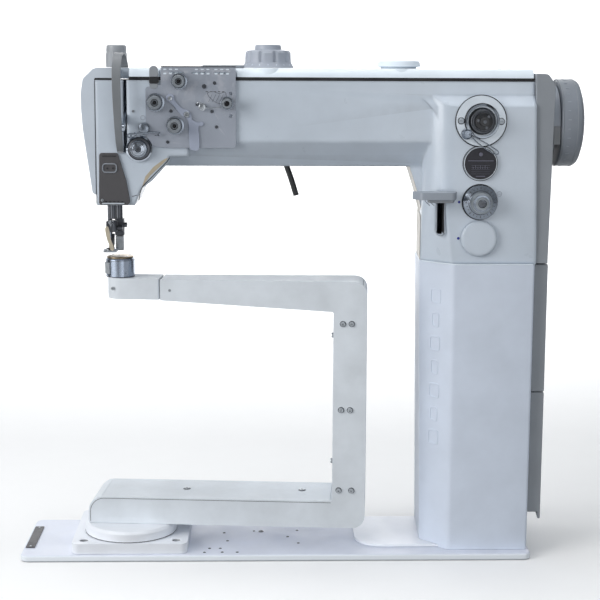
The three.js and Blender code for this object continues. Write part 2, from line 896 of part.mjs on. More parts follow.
function reverseLever() {
  const paddle = alongZ(
    [
      [329.4, -50, 5],
      [341, -68, 6],
      [378, -68, 6],
      [381.8, -50, 4],
      [372, -46],
      [356, -46],
    ],
    408,
    416.2,
  );
  const stem = box([363.4, -47, 407], [368.8, 12, 413.5]);
  const hub = cylinder("x", [0, 14, 410.5], 6, 362, 370, 16);
  return join(paddle, stem, hub);
}

function footLiftLever() {
  const y = ARM.back + 5;
  const hub = cylinder("y", [191, 0, 462], 8, ARM.back + GAP, y + 4, 20);
  return join(
    hub,
    rod(
      [
        [191, y, 458],
        [197, y, 440],
        [203, y, 421],
        [209.7, y, 401],
      ],
      3.4,
    ),
  );
}

// ---- lower arm ----
function turntableDisc() {
  const profile = [
    [0, 13],
    [13.8, 13],
    [13.8, FLANGE.top + GAP],
    [TURN.radius, FLANGE.top + GAP],
    [TURN.radius, TURN.top - 3],
    [TURN.radius - 3, TURN.top],
    [0, TURN.top],
  ];
  const disc = turned("z", [0, 0, 0], profile, 40);
  return cut(disc, cylinder("z", [0, 0, 0], 9, 0, 50, 20));
}

const armOutline = () => [
  [BEAM.left, BEAM.bottom, 2],
  [RISER.right, BEAM.bottom, RISER.corner],
  [RISER.right, UPPER.top, RISER.corner],
  [UPPER.left, UPPER.top, 1],
  [UPPER.left, UPPER.bottomLeft, 1],
  [RISER.left, UPPER.bottomRight, 2],
  [RISER.left, BEAM.top],
  [BEAM.left, BEAM.top, BEAM.corner],
];

function lowerArmFrame() {
  const depth = [
    [BEAM.front, BEAM.bottom - 1],
    [BEAM.back, BEAM.bottom - 1],
    [BEAM.back, BEAM.top],
    [UPPER.backRight, UPPER.bottomRight],
    [UPPER.backRight, UPPER.top + 1],
    [BEAM.front, UPPER.top + 1],
  ];
  const taper = [
    [UPPER.left - 5, UPPER.backLeft],
    [RISER.right, UPPER.backRight + 0.5],
    [RISER.right, 80],
    [UPPER.left - 5, 80],
  ];
  const body = cut(
    alongY(armOutline(), BEAM.front, BEAM.back).intersect(alongX(depth, -60, 300)),
    alongZ(taper, UPPER.bottomRight - 8, UPPER.top + 5),
  );
  const inside = BEAM.front + SKIN;
  const slope = [
    [UPPER.left - 1, UPPER.bottomLeft + SKIN],
    [RISER.right - SKIN, UPPER.bottomRight + SKIN],
    [RISER.right - SKIN, UPPER.top - SKIN],
    [UPPER.left - 1, UPPER.top - SKIN],
  ];
  return cut(
    body,
    box([BEAM.left + 15, inside, BEAM.bottom + SKIN], [RISER.right - SKIN, BEAM.back - SKIN, BEAM.top - SHEET]),
    box([BEAM.left + 15, inside, BEAM.top - SHEET - 1], [RISER.left - 2, BEAM.back - SKIN, BEAM.top + 1]),
    box([RISER.left + SKIN, inside, BEAM.top - 10], [RISER.right - SKIN, 28, UPPER.top - SKIN]),
    box([RISER.left - 1, inside + 3, 84], [RISER.left + SKIN + 1, 24, 272]),
    alongY(slope, inside, 15),
    cylinder("z", [0, 0, 0], 9, BEAM.bottom - 1, BEAM.bottom + SKIN + 1, 20),
  );
}

function lowerBeamCover() {
  const inside = BEAM.front + SKIN + GAP;
  return box(
    [BEAM.left + 15 + GAP, inside, BEAM.top - SHEET + GAP],
    [RISER.left - 2 - GAP, BEAM.back - SKIN - GAP, BEAM.top],
  );
}

function riserCover() {
  const inside = BEAM.front + SKIN + 3 + GAP;
  return box([RISER.left + 0.2, inside, 84 + GAP], [RISER.left + 3, 24 - GAP, 272 - GAP]);
}

function endBlock() {
  const { left, right, bottom, top, front, back } = BLOCK;
  const reach = (back - front) / 2;
  const plan = [
    [left, front, reach - 1.5],
    [right, front, 2],
    [right, back, 2],
    [left, back, reach - 1.5],
  ];
  return cut(
    alongZ(plan, bottom, top),
    cylinder("z", [POST.x, POST.y, 0], 9, bottom + 5, top + 1, 20),
    box([POST.x, POST.y - 8, CROSS_SHAFT.z - 7], [right + 1, POST.y + 8, CROSS_SHAFT.z + 8]),
  );
}

// Turns a piece drawn at the post's +X side round to where the bobbin cover faces.
const onPost = (solid) => solid.rotate([0, 0, COVER_ANGLE]).translate([POST.x, POST.y, 0]);

function hookPost() {
  const { x, y, radius, bore, top } = POST;
  const window = onPost(box([radius - 4.5, -5.6, 319], [radius + 6, 5.6, 333]));
  const profile = [
    [0, BLOCK.top + GAP],
    [radius, BLOCK.top + GAP],
    [radius, top - 1.5],
    [radius - 1.2, top],
    [0, top],
  ];
  const body = turned("z", [x, y, 0], profile, 36);
  return cut(body, cylinder("z", [x, y, 0], bore, 300, 350, 28), window);
}

function bobbinCover() {
  const { radius } = POST;
  return onPost(box([radius - 3, -5.2, 319.4], [radius + 0.6, 5.2, 332.6]));
}

function needlePlate() {
  const { x, y, radius, plate, top } = POST;
  const profile = [
    [0, top + GAP],
    [radius - 1, top + GAP],
    [radius - 1, plate - 0.8],
    [radius - 2, plate],
    [0, plate],
  ];
  const needleHole = [-TURN.x * Math.cos(TURN.angle), -TURN.x * Math.sin(-TURN.angle), 0];
  return cut(turned("z", [x, y, 0], profile, 32), cylinder("z", needleHole, 1.8, 330, 345, 10));
}

function rotaryHook() {
  const { x, y, bore } = POST;
  const profile = [
    [0, 318.5],
    [3, 318.5],
    [3, 321],
    [bore - 2, 322.5],
    [bore - 1.2, 331],
    [bore - 3, 334],
    [0, 335],
  ];
  return turned("z", [x, y, 0], profile, 18);
}

function hookShaft() {
  const profile = [
    [0, 309.6],
    [6, 309.6],
    [3.4, 313],
    [2.6, 314],
    [2.6, 318.2],
    [0, 318.2],
  ];
  return turned("z", [POST.x, POST.y, 0], profile, 16);
}

function crossShaft() {
  const gear = POST.x + 6.6;
  const profile = [
    [0, gear],
    [5.8, gear + 0.4],
    [CROSS_SHAFT.radius, gear + 4],
    [CROSS_SHAFT.radius, 254],
    [6.5, 257],
    [6.5, 260],
    [0, 260],
  ];
  return turned("x", [0, POST.y, CROSS_SHAFT.z], profile, 14);
}

// The upright drive shaft inside the riser, with its gear under the cross shaft's.
function riserShaft() {
  const profile = [
    [0, 44],
    [6, 44],
    [6, 52],
    [4, 53],
    [4, 288],
    [6.5, 293],
    [6.5, 296],
    [0, 296],
  ];
  return turned("z", [247, POST.y, 0], profile, 14);
}

// ---- assembly ----
add(machine, "base_plate", FINISH.enamel, basePlate());
add(machine, "type_plate", FINISH.insert, typePlate());
add(machine, "column_foot", FINISH.enamel, columnFoot());
add(machine, "turntable_flange", FINISH.armPaint, turntableFlange());
add(machine, "column_cover", FINISH.column, columnCover());
add(machine, "column_back_cover", FINISH.column, columnBackCover());
add(machine, "column_frame", FINISH.steel, columnFrame());
add(machine, "arm_casting", FINISH.casting, armCasting());
add(machine, "arm_back_cover", FINISH.casting, armBackCover());
add(machine, "top_cover", FINISH.cover, topCover());
add(machine, "head_cover", FINISH.cover, headCover());
add(machine, "face_insert", FINISH.insert, faceInsert());
add(machine, "side_cover", FINISH.darkPlastic, sideCover());
add(machine, "belt_cover_upper", FINISH.darkPlastic, beltCover(189.4, COLUMN.top - 1));
add(machine, "belt_cover_lower", FINISH.darkPlastic, lowerBeltCover());
add(machine, "handwheel_guard", FINISH.greyPlastic, handwheelGuard());
add(machine, "handwheel", FINISH.greyPlastic, handwheel());
add(machine, "main_shaft", FINISH.steel, mainShaft());
add(machine, "drive_pulley", FINISH.steel, drivePulley());
add(machine, "lower_pulley", FINISH.steel, lowerPulley());
add(machine, "timing_belt", FINISH.belt, timingBelt());
add(machine, "stroke_dial", FINISH.greyPlastic, strokeDial());
add(machine, "pressure_knob", FINISH.steel, pressureKnob());
add(machine, "filler_cap", FINISH.cover, fillerCap());
add(machine, "tension_plate", FINISH.plate, tensionPlate());
for (const { name, x, z, radius } of TENSION) {
  add(machine, name, FINISH.chrome, tensionKnob(x, z, radius));
}
add(machine, "main_tension", FINISH.chrome, tensionKnob(36.3, 460.4, 14.3, FACE));
add(machine, "check_spring", FINISH.steel, checkSpring());
add(machine, "release_lever", FINISH.steel, releaseLever());
add(machine, "take_up_guard", FINISH.darkPlastic, takeUpGuard());
add(machine, "take_up_lever", FINISH.chrome, takeUpLever());
add(machine, "needle_bar", FINISH.chrome, needleBar());
add(machine, "needle_clamp", FINISH.steel, needleClamp());
add(machine, "needle", FINISH.chrome, needle());
add(machine, "presser_bar", FINISH.chrome, presserBar());
add(machine, "presser_foot", FINISH.steel, presserFoot());
add(machine, "walking_foot", FINISH.chrome, walkingFoot());
add(machine, "winder_plate", FINISH.plate, winderPlate());
add(machine, "winder_spindle", FINISH.chrome, winderSpindle());
add(machine, "winder_lever", FINISH.steel, winderLever());
add(machine, "oil_gauge", FINISH.black, oilGauge());
add(machine, "stitch_dial", FINISH.steel, stitchDial());
add(machine, "blank_cap", FINISH.cover, blankCap());
add(machine, "reverse_lever", FINISH.plate, reverseLever());
add(machine, "foot_lift_lever", FINISH.black, footLiftLever());
add(lowerArm, "turntable_disc", FINISH.armPaint, turntableDisc());
add(lowerArm, "lower_arm_frame", FINISH.armPaint, lowerArmFrame());
add(lowerArm, "lower_beam_cover", FINISH.armPaint, lowerBeamCover());
add(lowerArm, "riser_cover", FINISH.armPaint, riserCover());
add(lowerArm, "end_block", FINISH.armPaint, endBlock());
add(lowerArm, "hook_post", FINISH.chrome, hookPost());
add(lowerArm, "bobbin_cover", FINISH.steel, bobbinCover());
add(lowerArm, "needle_plate", FINISH.brass, needlePlate());
add(lowerArm, "rotary_hook", FINISH.chrome, rotaryHook());
add(lowerArm, "hook_shaft", FINISH.steel, hookShaft());
add(lowerArm, "cross_shaft", FINISH.steel, crossShaft());
add(lowerArm, "riser_shaft", FINISH.steel, riserShaft());

export default machine;
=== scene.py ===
import json
from math import cos, pi, radians, sin, sqrt

import bmesh
import bpy
from mathutils import Matrix, Vector


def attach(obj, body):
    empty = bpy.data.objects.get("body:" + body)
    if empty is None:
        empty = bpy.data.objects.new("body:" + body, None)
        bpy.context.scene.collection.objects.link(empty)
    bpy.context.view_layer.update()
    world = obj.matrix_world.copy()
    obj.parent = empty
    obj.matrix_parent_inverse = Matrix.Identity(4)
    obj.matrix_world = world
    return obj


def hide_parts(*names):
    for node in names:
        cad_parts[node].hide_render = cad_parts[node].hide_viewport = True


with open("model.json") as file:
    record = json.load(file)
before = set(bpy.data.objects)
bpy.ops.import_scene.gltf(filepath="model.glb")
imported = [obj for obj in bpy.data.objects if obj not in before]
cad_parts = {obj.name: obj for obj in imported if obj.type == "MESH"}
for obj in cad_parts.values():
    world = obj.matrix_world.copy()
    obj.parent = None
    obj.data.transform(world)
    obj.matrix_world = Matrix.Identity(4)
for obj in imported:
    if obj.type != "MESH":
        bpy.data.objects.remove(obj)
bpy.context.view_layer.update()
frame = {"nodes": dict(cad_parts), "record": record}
NODES = frame["nodes"]

MM = 0.001
SHARP = radians(32)  # faces that meet at more than this keep a crisp edge

# ---- camera ----
CAMERA_AT = (169.4, -1609.7, 552.7)
YAW, PITCH, ROLL = (radians(a) for a in (1.548, 9.323, -0.26))
LENS = 86.52


def new_object(name, data):
    thing = bpy.data.objects.new(name, data)
    bpy.context.scene.collection.objects.link(thing)
    return thing


def make_camera():
    cam = new_object("camera", bpy.data.cameras.new("camera"))
    forward = Vector((sin(YAW) * cos(PITCH), cos(YAW) * cos(PITCH), -sin(PITCH)))
    right = Vector((cos(YAW), -sin(YAW), 0))
    down = forward.cross(right)
    across = right * cos(ROLL) + down * sin(ROLL)
    below = down * cos(ROLL) - right * sin(ROLL)
    turn = Matrix((across, -below, -forward)).transposed().to_4x4()
    cam.matrix_world = Matrix.Translation(Vector(CAMERA_AT) * MM) @ turn
    cam.data.lens = LENS
    cam.data.sensor_width = 36
    cam.data.clip_start, cam.data.clip_end = 0.05, 50
    bpy.context.scene.camera = cam


def put(node, **values):
    """Sets a node's sockets; an underscore in a name stands for a space."""
    for name, value in values.items():
        node.inputs[name.replace("_", " ")].default_value = value


def map_range(tree, source, low, high, start, end):
    node = tree.nodes.new("ShaderNodeMapRange")
    put(node, From_Min=start, From_Max=end, To_Min=low, To_Max=high)
    tree.links.new(source, node.inputs["Value"])
    return node.outputs["Result"]


# ---- stage ----
SKY_LOW, SKY_HIGH = 0.12, 0.6  # the sky's strength from below and from above
BEND_ANGLES = [radians(a) for a in range(0, 91, 6)]  # where the floor curves up


def area_light(name, at, target, size, power, tint=(1, 1, 1)):
    data = bpy.data.lights.new(name, "AREA")
    data.shape, data.size, data.size_y = "RECTANGLE", size[0], size[1]
    data.energy, data.color = power, tint
    light = new_object(name, data)
    light.location = at
    light.rotation_euler = (Vector(target) - Vector(at)).to_track_quat("-Z", "Y").to_euler()


def dark_card(name, turn, width):
    """A tall dark card that only polished metal mirrors, as in a product studio."""
    middle = Vector((0.1 + 1.25 * sin(turn), -1.25 * cos(turn), 0))
    across = Vector((cos(turn), sin(turn), 0)) * width
    bm = bmesh.new()
    corners = (middle - across, middle + across)
    outline = zip((*corners, *corners[::-1]), (0.02, 0.02, 1.5, 1.5))
    bm.faces.new([bm.verts.new(p + Vector((0, 0, z))) for p, z in outline])
    mesh = bpy.data.meshes.new(name)
    bm.to_mesh(mesh)
    bm.free()
    mesh.materials.append(MAT["black_plastic"])
    card = new_object(name, mesh)
    card.visible_camera = card.visible_diffuse = card.visible_shadow = card.visible_transmission = False


def make_stage():
    """White studio: bright above and behind, dim from below, with a floor that curves up at the back."""
    bpy.context.scene.view_settings.view_transform = "Standard"
    world = bpy.data.worlds.new("studio")
    world.use_nodes = True
    tree = world.node_tree
    place = tree.nodes.new("ShaderNodeTexCoord")
    parts = tree.nodes.new("ShaderNodeSeparateXYZ")
    tree.links.new(place.outputs["Generated"], parts.inputs["Vector"])
    strength = map_range(tree, parts.outputs["Z"], SKY_LOW, SKY_HIGH, -0.5, 0.9)
    background = tree.nodes["Background"]
    put(background, Color=(0.93, 0.965, 1.0, 1))
    tree.links.new(strength, background.inputs["Strength"])
    bpy.context.scene.world = world
    area_light("key", (-1.6, -1.15, 0.9), (0.3, 0, 0.25), (1.3, 1.3), 31, (1, 0.99, 0.98))
    area_light("fill", (1.0, -1.9, 0.5), (0.2, 0, 0.1), (1.4, 0.8), 6.5, (0.97, 0.985, 1))
    area_light("top", (0.2, 0.05, 1.5), (0.2, 0.02, 0.3), (1.1, 0.35), 5)
    area_light("rear", (0.2, 1.8, 1.2), (0.2, 0, 0.3), (1.6, 1.2), 5)
    area_light("backdrop", (0.2, 1.4, 2.6), (0.2, 4.2, 1.6), (4, 1), 150)
    for number, (turn, width) in enumerate(((38, 0.16), (-18, 0.1), (-95, 0.4), (112, 0.5))):
        dark_card(f"card_{number}", radians(turn), width)
    bm = bmesh.new()
    reach, rise = 2.2, 2.0
    bend = [(reach + rise * sin(a), rise * (1 - cos(a))) for a in BEND_ANGLES]
    profile = [(-3.5, 0), *bend, (reach + rise, 6)]
    rows = [[bm.verts.new((x, y, z)) for x in (-6, 6)] for y, z in profile]
    for (a, b), (c, d) in zip(rows, rows[1:]):
        bm.faces.new((a, b, d, c)).smooth = True
    mesh = bpy.data.meshes.new("floor")
    bm.to_mesh(mesh)
    floor = new_object("floor", mesh)
    floor.visible_diffuse = False
    pale = paint("floor_pale", (1.0, 1.0, 1.0), 0.8, 0.02, 60, fleck=0.004, hollow_darkening=0)
    mesh.materials.append(pale)


# ---- materials ----
PATCHES, SHEEN, HOLLOW_NOISE, SCRATCHES = 22, 45, 70, 140  # noise scales
RELIEF = 0.0004  # depth of the bumps


def linear(c):
    return c / 12.92 if c <= 0.04045 else ((c + 0.055) / 1.055) ** 2.4


def paint(
    name, color, rough, bump=0.05, grain=900, metal=0.0, fleck=0.03, coat=0.0, wear=0.0,
    worn=(0.5, 0.5, 0.52), stretch=(1, 1, 1), hollow_darkening=0.12, soft=0.0, side=None,
):
    """A mottled surface with a fine bump, darker colour in its hollows and wear on its edges.

    bump is the relief's strength and grain its noise scale, stretch draws the pattern out along an axis,
    soft rounds edges in the shading by so many millimetres, and side is a lighter colour painted on upright
    faces: painted light from the front.
    """
    material = bpy.data.materials.new(name)
    material.use_nodes = True
    tree = material.node_tree
    shader = tree.nodes["Principled BSDF"]
    new, link = tree.nodes.new, tree.links.new
    place = new("ShaderNodeTexCoord")
    scale = new("ShaderNodeMapping")
    put(scale, Scale=stretch)
    link(place.outputs["Object"], scale.inputs["Vector"])

    def noise(size, detail=4.0):
        node = new("ShaderNodeTexNoise")
        put(node, Scale=size, Detail=detail, Roughness=0.55)
        link(scale.outputs["Vector"], node.inputs["Vector"])
        return node.outputs["Fac"]

    def ramp(source, low, high, start=0.3, end=0.7):
        return map_range(tree, source, low, high, start, end)

    def times(a, b):
        node = new("ShaderNodeMath")
        node.operation = "MULTIPLY"
        link(a, node.inputs[0])
        link(b, node.inputs[1])
        return node.outputs["Value"]

    def blend(factor, a, b):
        node = new("ShaderNodeMix")
        node.data_type = "RGBA"
        for socket, value in ((node.inputs["A"], a), (node.inputs["B"], b)):
            if isinstance(value, tuple):
                socket.default_value = (*value, 1)
            else:
                link(value, socket)
        link(factor, node.inputs["Factor"])
        return node.outputs["Result"]

    base = tuple(linear(c) for c in color)
    dark = tuple(c * (1 - fleck * 2.2) for c in base)
    light = tuple(min(1, c * (1 + fleck)) for c in base)
    shade = blend(ramp(noise(PATCHES, 5), 0, 1), dark, light)
    point = new("ShaderNodeNewGeometry").outputs["Pointiness"]
    # Hollows (low pointiness) darken towards 55% of the colour, broken up by noise.
    hollow_colour = tuple(c * 0.55 for c in base)
    hollow = times(ramp(point, hollow_darkening * 4, 0, 0.44, 0.495), ramp(noise(HOLLOW_NOISE), 0.3, 1))
    shade = blend(hollow, shade, hollow_colour)
    if wear:
        edge = times(ramp(point, 0, wear, 0.53, 0.6), ramp(noise(SCRATCHES, 6), 0, 1, 0.45, 0.6))
        shade = blend(edge, shade, tuple(linear(c) for c in worn))
    # Upright faces take the side colour: painted light, lighter where the low front light falls.
    if side:
        side_light_mask = new("ShaderNodeSeparateXYZ")
        link(new("ShaderNodeNewGeometry").outputs["Normal"], side_light_mask.inputs["Vector"])
        shade = blend(ramp(side_light_mask.outputs["Z"], 1, 0, 0.3, 0.8), shade, tuple(linear(c) for c in side))
    link(shade, shader.inputs["Base Color"])
    link(ramp(noise(SHEEN, 6), rough * 0.82, min(1, rough * 1.2)), shader.inputs["Roughness"])
    put(shader, Metallic=metal, Coat_Weight=coat, Coat_Roughness=0.18)
    relief = new("ShaderNodeBump")
    put(relief, Strength=bump, Distance=RELIEF)
    link(noise(grain, 3), relief.inputs["Height"])
    if soft:
        round_off = new("ShaderNodeBevel")
        round_off.samples = 6
        put(round_off, Radius=soft * MM)
        link(round_off.outputs["Normal"], relief.inputs["Normal"])
    link(relief.outputs["Normal"], shader.inputs["Normal"])
    return material


MAT = {
    "flange_paint": paint("flange_enamel", (0.93, 0.945, 0.97), 0.5, 0.15, 700, hollow_darkening=0.2),
    # Plate: top painted darker as painted shade under the arm, upright faces painted lighter as painted front
    # light.
    "plate_enamel": paint(
        "plate_enamel", (0.87, 0.89, 0.94), 0.45, 0.1, 500, hollow_darkening=0.2, side=(0.95, 0.975, 1),
    ),
    "panel_paint": paint("panel_enamel", (0.80, 0.835, 0.875), 0.38, 0.06, 500, coat=0.2),
    "enamel": paint("white_enamel", (0.935, 0.95, 0.98), 0.4, 0.1, 500, coat=0.15, hollow_darkening=0.2),
    "arm_paint": paint("textured_grey_paint", (0.80, 0.83, 0.85), 0.62, 0.6, 1300, fleck=0.06),
    "beam_paint": paint("speckled_beam_paint", (0.885, 0.91, 0.935), 0.6, 0.5, 1500, fleck=0.05),
    "casting_paint": paint(
        "casting_enamel", (0.79, 0.83, 0.875), 0.33, 0.08, 420, coat=0.35, hollow_darkening=0.2, soft=6,
    ),
    "cover_paint": paint("white_cover", (0.89, 0.93, 0.965), 0.36, 0.06, 500, coat=0.25),
    "column_paint": paint("column_enamel", (0.84, 0.875, 0.93), 0.42, 0.12, 380, coat=0.2),
    "dark_plastic": paint("slate_plastic", (0.575, 0.595, 0.62), 0.5, 0.3, 1400),
    "grey_plastic": paint(
        "grey_plastic", (0.53, 0.555, 0.59), 0.45, 0.25, 1500, wear=0.25, worn=(0.7, 0.7, 0.72),
    ),
    "satin_plate": paint(
        "satin_plate", (0.62, 0.645, 0.69), 0.42, 0.12, 700, metal=0.35, wear=0.3, worn=(0.8, 0.8, 0.82),
    ),
    "black_plastic": paint(
        "black_plastic", (0.10, 0.105, 0.12), 0.35, 0.15, 900, wear=0.3, worn=(0.3, 0.3, 0.31),
    ),
    "dark_insert": paint("brown_grey_plastic", (0.285, 0.28, 0.29), 0.5, 0.3, 1500),
    "satin_post": paint(
        "satin_post", (0.64, 0.68, 0.74), 0.27, 0.08, 250, metal=1, fleck=0.05, stretch=(1, 1, 0.2),
    ),
    "ivory_steel": paint("ivory_steel", (0.80, 0.76, 0.68), 0.3, 0.1, 300, metal=0.6),
    "pale_plate": paint("pale_satin_plate", (0.80, 0.83, 0.86), 0.35, 0.1, 700, metal=0.3, hollow_darkening=0.3),
    "dark_steel": paint("dark_steel", (0.34, 0.35, 0.37), 0.35, 0.15, 600, metal=0.9),
    "black_steel": paint("black_oxide_steel", (0.12, 0.12, 0.13), 0.45, 0.15, 600, metal=0.6),
    "warm_tint": paint("warm_tint", (0.775, 0.755, 0.715), 0.4, 0.1, 300, fleck=0.05),
    "warm_edge": paint("warm_tinted_edge", (0.76, 0.71, 0.62), 0.45, 0.1, 300, fleck=0.12),
    "chrome": paint(
        "polished_chrome", (0.66, 0.69, 0.73), 0.14, 0.05, 250, metal=1, fleck=0.05, hollow_darkening=0.35,
    ),
    "steel": paint(
        "satin_steel", (0.66, 0.68, 0.70), 0.3, 0.12, 300, metal=1, fleck=0.08, stretch=(1, 1, 6),
        hollow_darkening=0.35,
    ),
    "plate_bronze": paint(
        "worn_bronze", (0.60, 0.54, 0.45), 0.3, 0.1, 300, metal=0.9, fleck=0.1, hollow_darkening=0.4,
    ),
    "belt_rubber": paint("belt_rubber", (0.14, 0.14, 0.15), 0.8, 0.4, 900),
    "seam_grey": paint("seam_shadow", (0.30, 0.31, 0.33), 0.7, 0.1),
    "disc_grey": paint("disc_grey", (0.50, 0.53, 0.57), 0.25, 0.1, 500, metal=0.9, hollow_darkening=0.5),
    "nut_grey": paint("nut_grey", (0.56, 0.585, 0.61), 0.32, 0.12, 500, metal=0.6, hollow_darkening=0.4),
    "lever_grey": paint("cast_lever", (0.66, 0.69, 0.76), 0.42, 0.2, 700, metal=0.3, hollow_darkening=0.3),
    "guard_grey": paint("guard_grey", (0.48, 0.495, 0.51), 0.42, 0.15, 900),
    "gauge_glass": paint("gauge_window", (0.085, 0.085, 0.125), 0.5, 0.03),
    "dial_grey": paint(
        "dial_grey", (0.645, 0.67, 0.715), 0.42, 0.2, 1500, wear=0.25, worn=(0.75, 0.75, 0.77),
    ),
    "dot_blue": paint("blue_dot", (0.10, 0.16, 0.55), 0.4, 0.05),
    "knob_grey": paint("knob_grey", (0.60, 0.615, 0.635), 0.42, 0.2, 1200),
    "gauge_ink": paint("gauge_ink", (0.40, 0.40, 0.46), 0.5, 0.05),
    "collar_grey": paint("collar_grey", (0.60, 0.63, 0.67), 0.45, 0.25, 1500),
}


# ---- CAD nodes keep their meshes; rounded edges come from modifiers ----
# Widths of the rounded edges, in millimetres; the other nodes have 0.5.
EDGE = {
    "base_plate": 2.4, "lower_arm_frame": 1.6, "column_cover": 1.2, "arm_casting": 2.0, "top_cover": 1.2,
    "head_cover": 2.2, "side_cover": 1.6, "belt_cover_upper": 1.2, "belt_cover_lower": 1.2,
    "turntable_flange": 1.2, "turntable_disc": 1.0, "end_block": 1.4, "handwheel": 1.2,
    "reverse_lever": 2.2,
}
# Nodes that look other than their slot's material.
OTHER_LOOKS = {
    "lower_arm_frame": "beam_paint", "lower_beam_cover": "beam_paint", "riser_cover": "beam_paint",
    "end_block": "beam_paint", "base_plate": "plate_enamel", "head_cover": "panel_paint",
    "turntable_flange": "flange_paint", "turntable_disc": "flange_paint", "needle_bar": "dark_steel",
    "presser_bar": "dark_steel", "walking_foot": "dark_steel", "winder_plate": "pale_plate",
    "winder_spindle": "dark_steel", "hook_post": "satin_post", "blank_cap": "casting_paint",
    "handwheel_guard": "collar_grey", "reverse_lever": "collar_grey", "stitch_dial": "disc_grey",
}


def round_edges(thing, width, segments):
    bevel = thing.modifiers.new("bevel", "BEVEL")
    bevel.width = width * MM
    bevel.segments = segments
    bevel.limit_method = "ANGLE"
    bevel.angle_limit = SHARP
    bevel.harden_normals = True
    return bevel


def dress(name, material, width):
    node = NODES[name]
    node.data.materials.clear()
    node.data.materials.append(material)
    normals = node.data.attributes.get("custom_normal")
    if normals:
        node.data.attributes.remove(normals)
    node.data.polygons.foreach_set("use_smooth", [True] * len(node.data.polygons))
    weld = node.modifiers.new("weld", "WELD")
    weld.merge_threshold = 1e-5
    flat = node.modifiers.new("flat", "DECIMATE")
    flat.decimate_type = "DISSOLVE"
    flat.angle_limit = radians(0.6)
    round_edges(node, width, 3).miter_outer = "MITER_ARC"


def dress_all():
    slots = {s["node"]: s["material_slot"] for s in frame["record"]["subparts"]}
    for name in NODES:
        dress(name, MAT[OTHER_LOOKS.get(name, slots[name])], EDGE.get(name, 0.5))


# ---- mesh building; every length is in millimetres ----
TURNTABLE_X, ARM_TURN = 19, -0.0805
LOWER_ARM = Matrix.Translation((TURNTABLE_X, 0, 0)) @ Matrix.Rotation(ARM_TURN, 4, "Z")
AXES = {
    "x": ((0, 1, 0), (0, 0, 1), (1, 0, 0)), "-x": ((0, 0, 1), (0, 1, 0), (-1, 0, 0)),
    "y": ((0, 0, 1), (1, 0, 0), (0, 1, 0)), "-y": ((1, 0, 0), (0, 0, 1), (0, -1, 0)),
    "z": ((1, 0, 0), (0, 1, 0), (0, 0, 1)),
}


def curve(points, steps=6, closed=False):
    """Points on a smooth line through the given ones."""
    points = [Vector(p) for p in points]
    count = len(points)
    found = []

    def point(k):
        return points[k % count] if closed else points[min(max(k, 0), count - 1)]

    for i in range(count if closed else count - 1):
        a, b, c, d = (point(k) for k in range(i - 1, i + 3))
        for k in range(steps):
            t = k / steps
            square = (2 * a - 5 * b + 4 * c - d) * t**2
            cube = (3 * b - a - 3 * c + d) * t**3
            found.append(0.5 * ((2 * b) + (c - a) * t + square + cube))
    return found if closed else [*found, points[-1]]


def smooth_outline(points, steps):
    """A closed flat outline through the given points."""
    return [tuple(p)[:2] for p in curve([(*p, 0) for p in points], steps, closed=True)]


